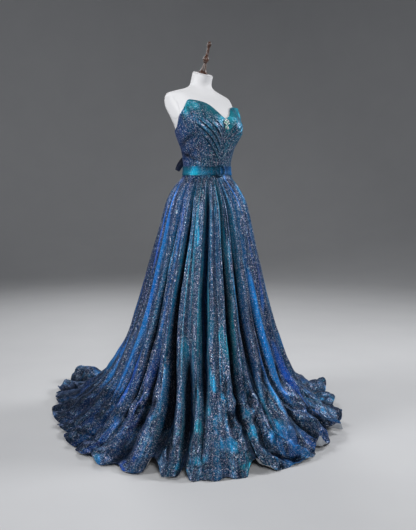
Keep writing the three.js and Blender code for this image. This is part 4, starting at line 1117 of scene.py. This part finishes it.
def skirtSurface():
    folds, per = len(skirt["folds"]), skirt["columns"]
    even = np.arange(folds * per) / per
    # columns stand closer together in the valleys
    places = even - 0.08 * np.sin(even * 2 * math.pi)
    places[::per] = np.arange(folds)
    heights = np.concatenate([np.arange(skirt["hem"], 300, 5), np.arange(300, 1100, 9.5),
                              np.linspace(1100, skirt["top"], 17)])
    hanging, hangingDip, hangingGroove = hangingCloth(places, heights)
    out = np.linspace(1, 0, skirt["trailRows"], endpoint=False)
    trailing, trailingDip, trailingGroove = trailingCloth(places, out)
    grid = np.concatenate([trailing, hanging])
    dip = np.concatenate([trailingDip, hangingDip])
    grooves = np.concatenate([trailingGroove, hangingGroove])
    angle = np.degrees(np.arctan2(grid[..., 0], -grid[..., 1]))
    run = np.cumsum(np.linalg.norm(np.diff(grid, axis=0, prepend=grid[:1]), axis=-1), axis=0)
    hem = skirt["trailRows"]
    # height, which goes on under nought along the cloth that lies on the floor
    height = np.where(np.arange(len(grid))[:, None] < hem, run - run[hem] + skirt["hem"], grid[..., 2])
    grid[..., 2] += liftedHem(angle, height, run)
    normal = gridNormals(grid, closed=True)
    low = fade(height, "crushed")
    crush = crushedCloth(np.radians(angle) * 480, height, angle)
    waves = sum(high * softNoise(grid, (wide, wide, long), seed) for high, wide, long, seed in skirt["waves"])
    loose = fade(height, "loose")
    cutIn = np.minimum(grooves[..., 0], skirt["grooveMost"])
    grooved = skirt["groove"] * cutIn * fade(height, "grooveTop") * fade(height, "grooveFoot")
    creased = creaseDepth(angle, height) * fade(height, "creaseTop")
    # the cloth lies calm in the deep folds
    calm = 1 - 0.85 * np.clip(grooves[..., 1], 0, 1)
    crush, creased = crush * calm, creased * calm
    move = low * crush + loose * waves - creased
    inward = grid[..., :2] / np.linalg.norm(grid[..., :2], axis=-1, keepdims=True)
    grid = grid + normal * move[..., None]
    grid[..., :2] -= inward * grooved[..., None]
    # the cloth stays clear of the hips of the form
    turned = np.degrees(np.arctan2(grid[..., 0], -grid[..., 1]))
    clear = figureRadius(turned, np.maximum(grid[..., 2], skirt["hips"])) + skirt["offHips"]
    push = np.maximum(clear / np.hypot(grid[..., 0], grid[..., 1]), 1)
    grid[..., :2] *= np.where(grid[..., 2] > skirt["hips"], push, 1)[..., None]
    grid[..., 2] = np.maximum(grid[..., 2], skirt["floor"])
    grid[-1, :, 2] = skirt["top"]
    return grid, dip, grooves[..., 1], creased - crush * low, height


def skirtMarks(grid, dip, grooves, sunk, height):
    normal = gridNormals(grid, closed=True)
    around = np.hypot(grid[..., 0], grid[..., 1])
    outward = grid[..., :2] / around[..., None]
    flat = np.linalg.norm(normal[..., :2], axis=-1)
    facing = (normal[..., :2] * outward).sum(axis=-1) / np.maximum(flat, 1e-6)
    # painted sheen: faces that turn from the outward way, and on the floor faces that stand up steeply, take
    # the teal or royal colour
    lying, hanging = skirt["lyingBlue"] * fade(flat, "lying"), skirt["turnedBlue"] * fade(facing, "turned")
    side = mix(lying, hanging, fade(height, "offFloor"))
    folds, per, noise = skirt["folds"], skirt["columns"], skirt["noise"]
    tones, nextTones = np.repeat(folds[:, 9], per), np.repeat(np.roll(folds[:, 9], -1), per)
    share = np.tile(np.arange(per) / per, len(folds))
    tone = mix(tones, nextTones, fade(share, "nextTone"))[None]
    tone = np.clip(tone + 0.35 * softNoise(grid, *noise["tone"]), 0, 1)
    hang = fade(height, "darkFoot") * fade(height, "darkTop")
    # painted shade: each dark line in a groove starts as a point and widens downwards, a little unevenly
    start = mix(0.1, 0.5, fade(height, "pointed")) + 0.12 * softNoise(grid, *noise["points"])
    deep = rise((grooves - start) / 0.4) * hang
    # painted shade in the valleys of the folds
    lying, hanging = fade(dip, "lyingDip") * skirt["lyingDark"], fade(dip, "hungDip") * skirt["hungDark"]
    valley = mix(lying, hanging, fade(height, "valleyHung"))
    deep = np.maximum(deep, valley * fade(height, "darkTop"))
    # painted shade under the belt
    deep = np.maximum(deep, skirt["shadeUnderBelt"] * bell((height - 1156) / 28))
    low = fade(height, "nearFloor")
    # painted shade in the hollows of crushed cloth
    hollowShade = fade(sunk, "sunk") * skirt["hollowShade"]
    # painted sheen in patches and streaks
    patches = fade(softNoise(grid, *noise["patches"]), "patch") * fade(height, "patchTop")
    streaks = fade(softNoise(grid, *noise["streaks"]), "streak") * skirt["streakShare"]
    # painted highlights: bright lines that run down the folds, thickest at the sides, and fine ones all over
    place = np.arange(grid.shape[1])[None] / per
    cloth = together(place, height, 0.0)
    lines = fade(softNoise(cloth, *noise["lines"]), "line")
    angle = np.degrees(np.arctan2(grid[..., 0], -grid[..., 1]))
    lines = lines * (0.45 + 0.55 * np.maximum(fade(angle, "farRight"), fade(angle, "left")))
    threads = 0.6 + 0.55 * softNoise(cloth, *noise["threads"])
    paintedShotSheen = np.maximum(side * mix(1, 0.6, low), np.maximum(patches, streaks * mix(1, 0.3, low))) * threads
    paintedShotSheen = np.maximum(paintedShotSheen, lines * mix(0.85, 0.5, low))
    # the right of the train lies in the shade of the folds above it
    shade = skirt["shade"] * fade(angle, "shadeFront") * fade(angle, "shadeBack") * fade(height, "shadeTop")
    # painted shade: the cloth near the floor, the hollows and the right of the train are darkened
    deep = np.maximum(np.maximum(deep, hollowShade), np.maximum(0.26 * low, shade))
    return {"fold": np.clip(paintedShotSheen, 0, 1), "paintedShade": deep, "tone": tone, "band": np.zeros_like(dip)}


def buildSkirt():
    grid, dip, grooves, sunk, height = skirtSurface()
    marks = skirtMarks(grid, dip, grooves, sunk, height)
    total = grid.shape[1]
    for node, first, last, flat, area in skirt["gores"]:
        take = np.arange(first * skirt["columns"], last * skirt["columns"] + 1)
        part = grid[:, take % total].copy()
        openSeams(part, skirt["halfGap"])
        across = take / total * skirt["round"]
        piece = gridMesh(node + "_cloth", part, marks={k: v[:, take % total] for k, v in marks.items()},
                         across=across)
        thicken(piece, skirt["wall"], [glitterCloth, wrongSide])
        settle(piece, "glitter_cloth", node)


buildModestyPanel()
buildLoopTape(-1, "right")
buildLoopTape(1, "left")
buildLace(1, "one", lacing["offsets"][0])
buildLace(-1, "two", lacing["offsets"][1])
buildBow()
print("lacing and bow made")
buildSkirt()
print("skirt made")


# The belt, with its covered buckle
belt = {
    "low": 1150, "high": 1188, "outside": 8.2, "wall": 1.9, "columns": 240,
    # where the taffeta catches the light along the belt: angle, share, width
    "bright": [(-66, 0.75, 6), (-100, 0.25, 10), (12, 0.3, 7), (60, 0.6, 12), (140, 0.6, 14),
               (-150, 0.5, 16)],
}
buckle = {
    "outer": 27, "inner": 18.5, "inside": 9.2, "outside": 12.6, "columns": 96, "rows": 20,
    "pucker": 0.18, "puckers": 22,
    # width and thickness of the bar, how far it stands off the ring's back, and its soft edge
    "bar": 5, "barDeep": 1.9, "barOff": 1.1, "barSoft": 0.6,
    "barMarks": {"fold": 0.3, "paintedShade": 0.3, "tone": 0.6, "band": 0.1},
}


def buildBelt():
    share = np.linspace(0, 1, 15)[:, None]
    angle = np.arange(belt["columns"])[None] * 360 / belt["columns"]
    z = mix(belt["low"], belt["high"], share)
    plain = offFigure(angle, z, belt["outside"])
    rounded = 0.9 * (2 * np.abs(share - 0.5)) ** 6
    stitched = 0.35 * (bell((share - 0.1) / 0.03) + bell((share - 0.9) / 0.03))
    ripple = 0.5 * softNoise(plain, (26, 26, 60), 51) * rise(1 - 2 * np.abs(share - 0.5))
    grid = offFigure(angle, z, belt["outside"] - rounded - stitched + ripple)
    around = apartFrom(angle, 0)
    blue = 0.8 * rise((around + 16) / 34) * rise((170 - around) / 60)
    tone = np.clip(0.15 + 0.4 * softNoise(plain, 60, 52) + blue, 0, 1)
    bright = np.zeros_like(plain[..., 0])
    for middle, much, wide in belt["bright"]:
        bright = np.maximum(bright, much * bell((around - middle) / wide))
    # painted highlight and sheen where the taffeta catches the light; painted shade away from them and in the
    # stitch grooves
    fold = np.clip(bright + 0.25 + 0.3 * softNoise(plain, 40, 53), 0, 1)
    paintedShade = np.clip(0.68 - 0.6 * fold, 0, 1) + stitched * 0.8
    piece = gridMesh("belt_band", grid, closed=True,
                     marks={"fold": fold, "paintedShade": paintedShade, "tone": tone, "band": 0.1})
    thicken(piece, belt["wall"], [beltCloth])
    settle(piece, "belt_satin", "belt")


# Points on the front by their distance from the centre line
def onFront(across, z, off):
    angle = np.degrees(across / (figureRadius(0, z) + off))
    return offFigure(angle, z, off)


def buildBuckle():
    columns, rows = buckle["columns"], buckle["rows"]
    turn = np.arange(columns)[None] * 2 * math.pi / columns
    roll = np.arange(rows)[:, None] * 2 * math.pi / rows
    middle, half = (buckle["outer"] + buckle["inner"]) / 2, (buckle["outer"] - buckle["inner"]) / 2
    deep = (buckle["outside"] - buckle["inside"]) / 2
    off = mix(buckle["inside"], buckle["outside"], 0.5) + deep * np.sin(roll)
    # cloth pulled round the ring puckers a little on the inner side
    pucker = buckle["pucker"] * np.sin(turn * buckle["puckers"]) * rise(np.cos(roll) * -1)
    radius = middle + (half - pucker) * np.cos(roll)
    grid = onFront(radius * np.sin(turn), figure["waist"] - radius * np.cos(turn), off)
    ring = gridMesh("buckle_ring_covered", np.concatenate([grid, grid[:1]]), closed=True,
                    marks={"fold": 0.1, "paintedShade": 0.55, "tone": 0.5, "band": 0.1})
    makeActive(ring)
    bpy.ops.object.mode_set(mode="EDIT")
    bpy.ops.mesh.select_all(action="SELECT")
    bpy.ops.mesh.remove_doubles(threshold=1e-6)
    bpy.ops.mesh.normals_make_consistent(inside=False)
    bpy.ops.object.mode_set(mode="OBJECT")
    ring.data.materials.append(beltCloth)
    settle(ring, "belt_satin", "buckle_ring")
    # the bar: a box with softened edges, laid on the curve of the front
    bpy.ops.object.select_all(action="DESELECT")
    bpy.ops.mesh.primitive_cube_add(size=1)
    bar = bpy.context.object
    bar.name = "buckle_bar_covered"
    bar.dimensions = (buckle["bar"], buckle["barDeep"], 2 * (buckle["inner"] - 0.8))
    bpy.ops.object.transform_apply(scale=True)
    bpy.ops.object.mode_set(mode="EDIT")
    bpy.ops.mesh.select_all(action="SELECT")
    bpy.ops.mesh.subdivide(number_cuts=7)
    bpy.ops.object.mode_set(mode="OBJECT")
    soften = bar.modifiers.new("soften", "BEVEL")
    soften.width, soften.segments = buckle["barSoft"], 3
    bpy.ops.object.modifier_apply(modifier="soften")
    for point in bar.data.vertices:
        x, y, z = point.co
        off = buckle["inside"] + buckle["barOff"] - y
        point.co = Vector(onFront(np.array(x), np.array(figure["waist"] + z), np.array(off))) * 0.001
    bar.data.uv_layers[0].name = "clothMap"
    for key, value in buckle["barMarks"].items():
        layer = bar.data.attributes.new(key, "FLOAT", "POINT")
        layer.data.foreach_set("value", np.full(len(bar.data.vertices), value, np.float32))
    smoothEdges(bar, 50)
    bar.data.materials.append(beltCloth)
    settle(bar, "belt_satin", "buckle_bar")


# The brooch: a spray of foiled stones in claws, with two drops below
brooch = {
    "z": 1366, "off": 7.4,
    # rings of a stone and of its cup, in shares of the stone's radius, and their heights
    "cut": [(0.75, 0), (1, 1), (1, 1.4), (0.62, 2.9)],
    "cup": [(0.7, -0.7), (1.12, -0.2), (1.16, 1.1), (1.02, 1.25)],
    "bead": 0.55, "beadUp": 1.5,
    # across, up, radius, colour, stretch down
    "stones": [
        (0, 8, 5.4, "green", 1), (-9.5, 11, 4, "green", 1.1), (9, 12, 4, "clear", 1.1),
        (0, 19, 3.6, "clear", 1.2),
        (-6, 1, 3, "clear", 1), (6.5, 1.5, 3.2, "green", 1), (0, -3.5, 3, "green", 1),
        (-12.5, 4, 2.6, "clear", 1),
        (13, 5, 2.6, "clear", 1), (-7, 18, 2.4, "clear", 1), (7.5, 20, 2.4, "green", 1),
        (-5, -13, 3.8, "green", 1.7), (5.5, -15, 3.8, "clear", 1.7), (0, -9.5, 1.8, "clear", 1),
    ],
}


def buildBrooch():
    parts = {"green": [], "clear": [], "metal": []}
    for across, up, size, kind, stretch in brooch["stones"]:
        base = onFront(np.array(across), np.array(brooch["z"] + up), np.array(brooch["off"]))
        tip = onFront(np.array(across), np.array(brooch["z"] + up), np.array(brooch["off"] + 1))
        out = Vector(tip - base).normalized()
        turn = Vector((0, 0, 1)).rotation_difference(out).to_matrix().to_4x4()
        turn.translation = Vector(base) * 0.001
        # a brilliant: girdle, slanting crown and flat table, with the foil side closed
        gem = turnPiece("stone", [(size * wide, z) for wide, z in brooch["cut"]], 10, smooth=5)
        cup = turnPiece("cup", [(size * wide, z) for wide, z in brooch["cup"]], 20, smooth=40)
        for piece in (gem, cup):
            if stretch != 1:
                piece.data.transform(Matrix.Diagonal((1, stretch, 1, 1)))
            spin = turn.to_3x3().inverted() @ Vector((0, 0, 1))
            level = Matrix.Rotation(math.atan2(spin.x, spin.y) * -1, 4, "Z")
            piece.data.transform(turn @ level)
        parts[kind].append(gem)
        parts["metal"].append(cup)
        for k in range(4):
            claw = math.radians(45 + 90 * k)
            place = Vector((math.cos(claw) * size, math.sin(claw) * size * stretch, brooch["beadUp"])) * 0.001
            bpy.ops.object.select_all(action="DESELECT")
            bpy.ops.mesh.primitive_ico_sphere_add(subdivisions=1, radius=brooch["bead"] * 0.001,
                                                  location=place)
            bead = bpy.context.object
            bpy.ops.object.transform_apply(location=True)
            bead.data.transform(turn @ level)
            parts["metal"].append(bead)
    for kind, material in (("green", greenGlass), ("clear", clearGlass), ("metal", platedBrass)):
        for piece in parts[kind]:
            piece.data.materials.append(material)
        joined = joinPieces(parts[kind])
        joined.name = f"brooch_{kind}"
        settle(joined, "crystal", *(["brooch"] if kind == "metal" else []))


buildBelt()
buildBuckle()
buildBrooch()
print("belt, buckle and brooch made")


# The floor and the light
room = {
    # radius and height of the floor and of the wall that it curves up into, in metres
    "bowl": [(4.6, 0), (5.2, 0.04), (5.8, 0.16), (6.4, 0.4), (7, 0.8), (7.5, 1.4), (7.9, 2.2), (8.1, 3.2),
             (8.2, 5)],
    "sky": "#e6e9ee", "skyStrength": 0.13,
    # place, aim, size, watts and spread of each soft box
    "boxes": [
        ((-3.7, 0.8, 3.0), (0, 0, 1.3), 1.6, 37, 100), ((-2.1, -3.4, 2.5), (-0.1, -0.1, 0.85), 1.0, 23, 80),
        ((3.0, -1.4, 2.6), (0, 0, 1.0), 1.2, 92, 180), ((1.0, 3.0, 2.8), (0, 0, 0.7), 1.4, 50, 180),
    ],
}


def buildRoom():
    bpy.ops.object.select_all(action="DESELECT")
    bpy.ops.mesh.primitive_circle_add(vertices=128, radius=room["bowl"][0][0], fill_type="NGON")
    floor = bpy.context.object
    floor.name = "floor"
    bpy.ops.object.mode_set(mode="EDIT")
    bpy.ops.mesh.select_all(action="SELECT")
    bpy.ops.mesh.region_to_loop()
    for (wide, low), (nextWide, high) in zip(room["bowl"], room["bowl"][1:]):
        bpy.ops.mesh.extrude_edges_move(TRANSFORM_OT_translate={"value": (0, 0, high - low)})
        bpy.ops.transform.resize(value=(nextWide / wide, nextWide / wide, 1), center_override=(0, 0, high))
    bpy.ops.object.mode_set(mode="OBJECT")
    bpy.ops.object.shade_smooth()
    floor.data.materials.append(paintedBoard)
    world = bpy.data.worlds.new("studio")
    bpy.context.scene.world = world
    world.use_nodes = True
    world.node_tree.nodes["Background"].inputs["Color"].default_value = colour(room["sky"])
    world.node_tree.nodes["Background"].inputs["Strength"].default_value = room["skyStrength"]
    for place, aim, size, watts, spread in room["boxes"]:
        bpy.ops.object.light_add(type="AREA", location=place)
        lamp = bpy.context.object
        lamp.data.size = size
        lamp.data.energy = watts
        lamp.data.spread = math.radians(spread)
        lamp.rotation_euler = (Vector(aim) - Vector(place)).to_track_quat("-Z", "Y").to_euler()


buildRoom()
print("floor and light made")

bpy.context.view_layer.update()
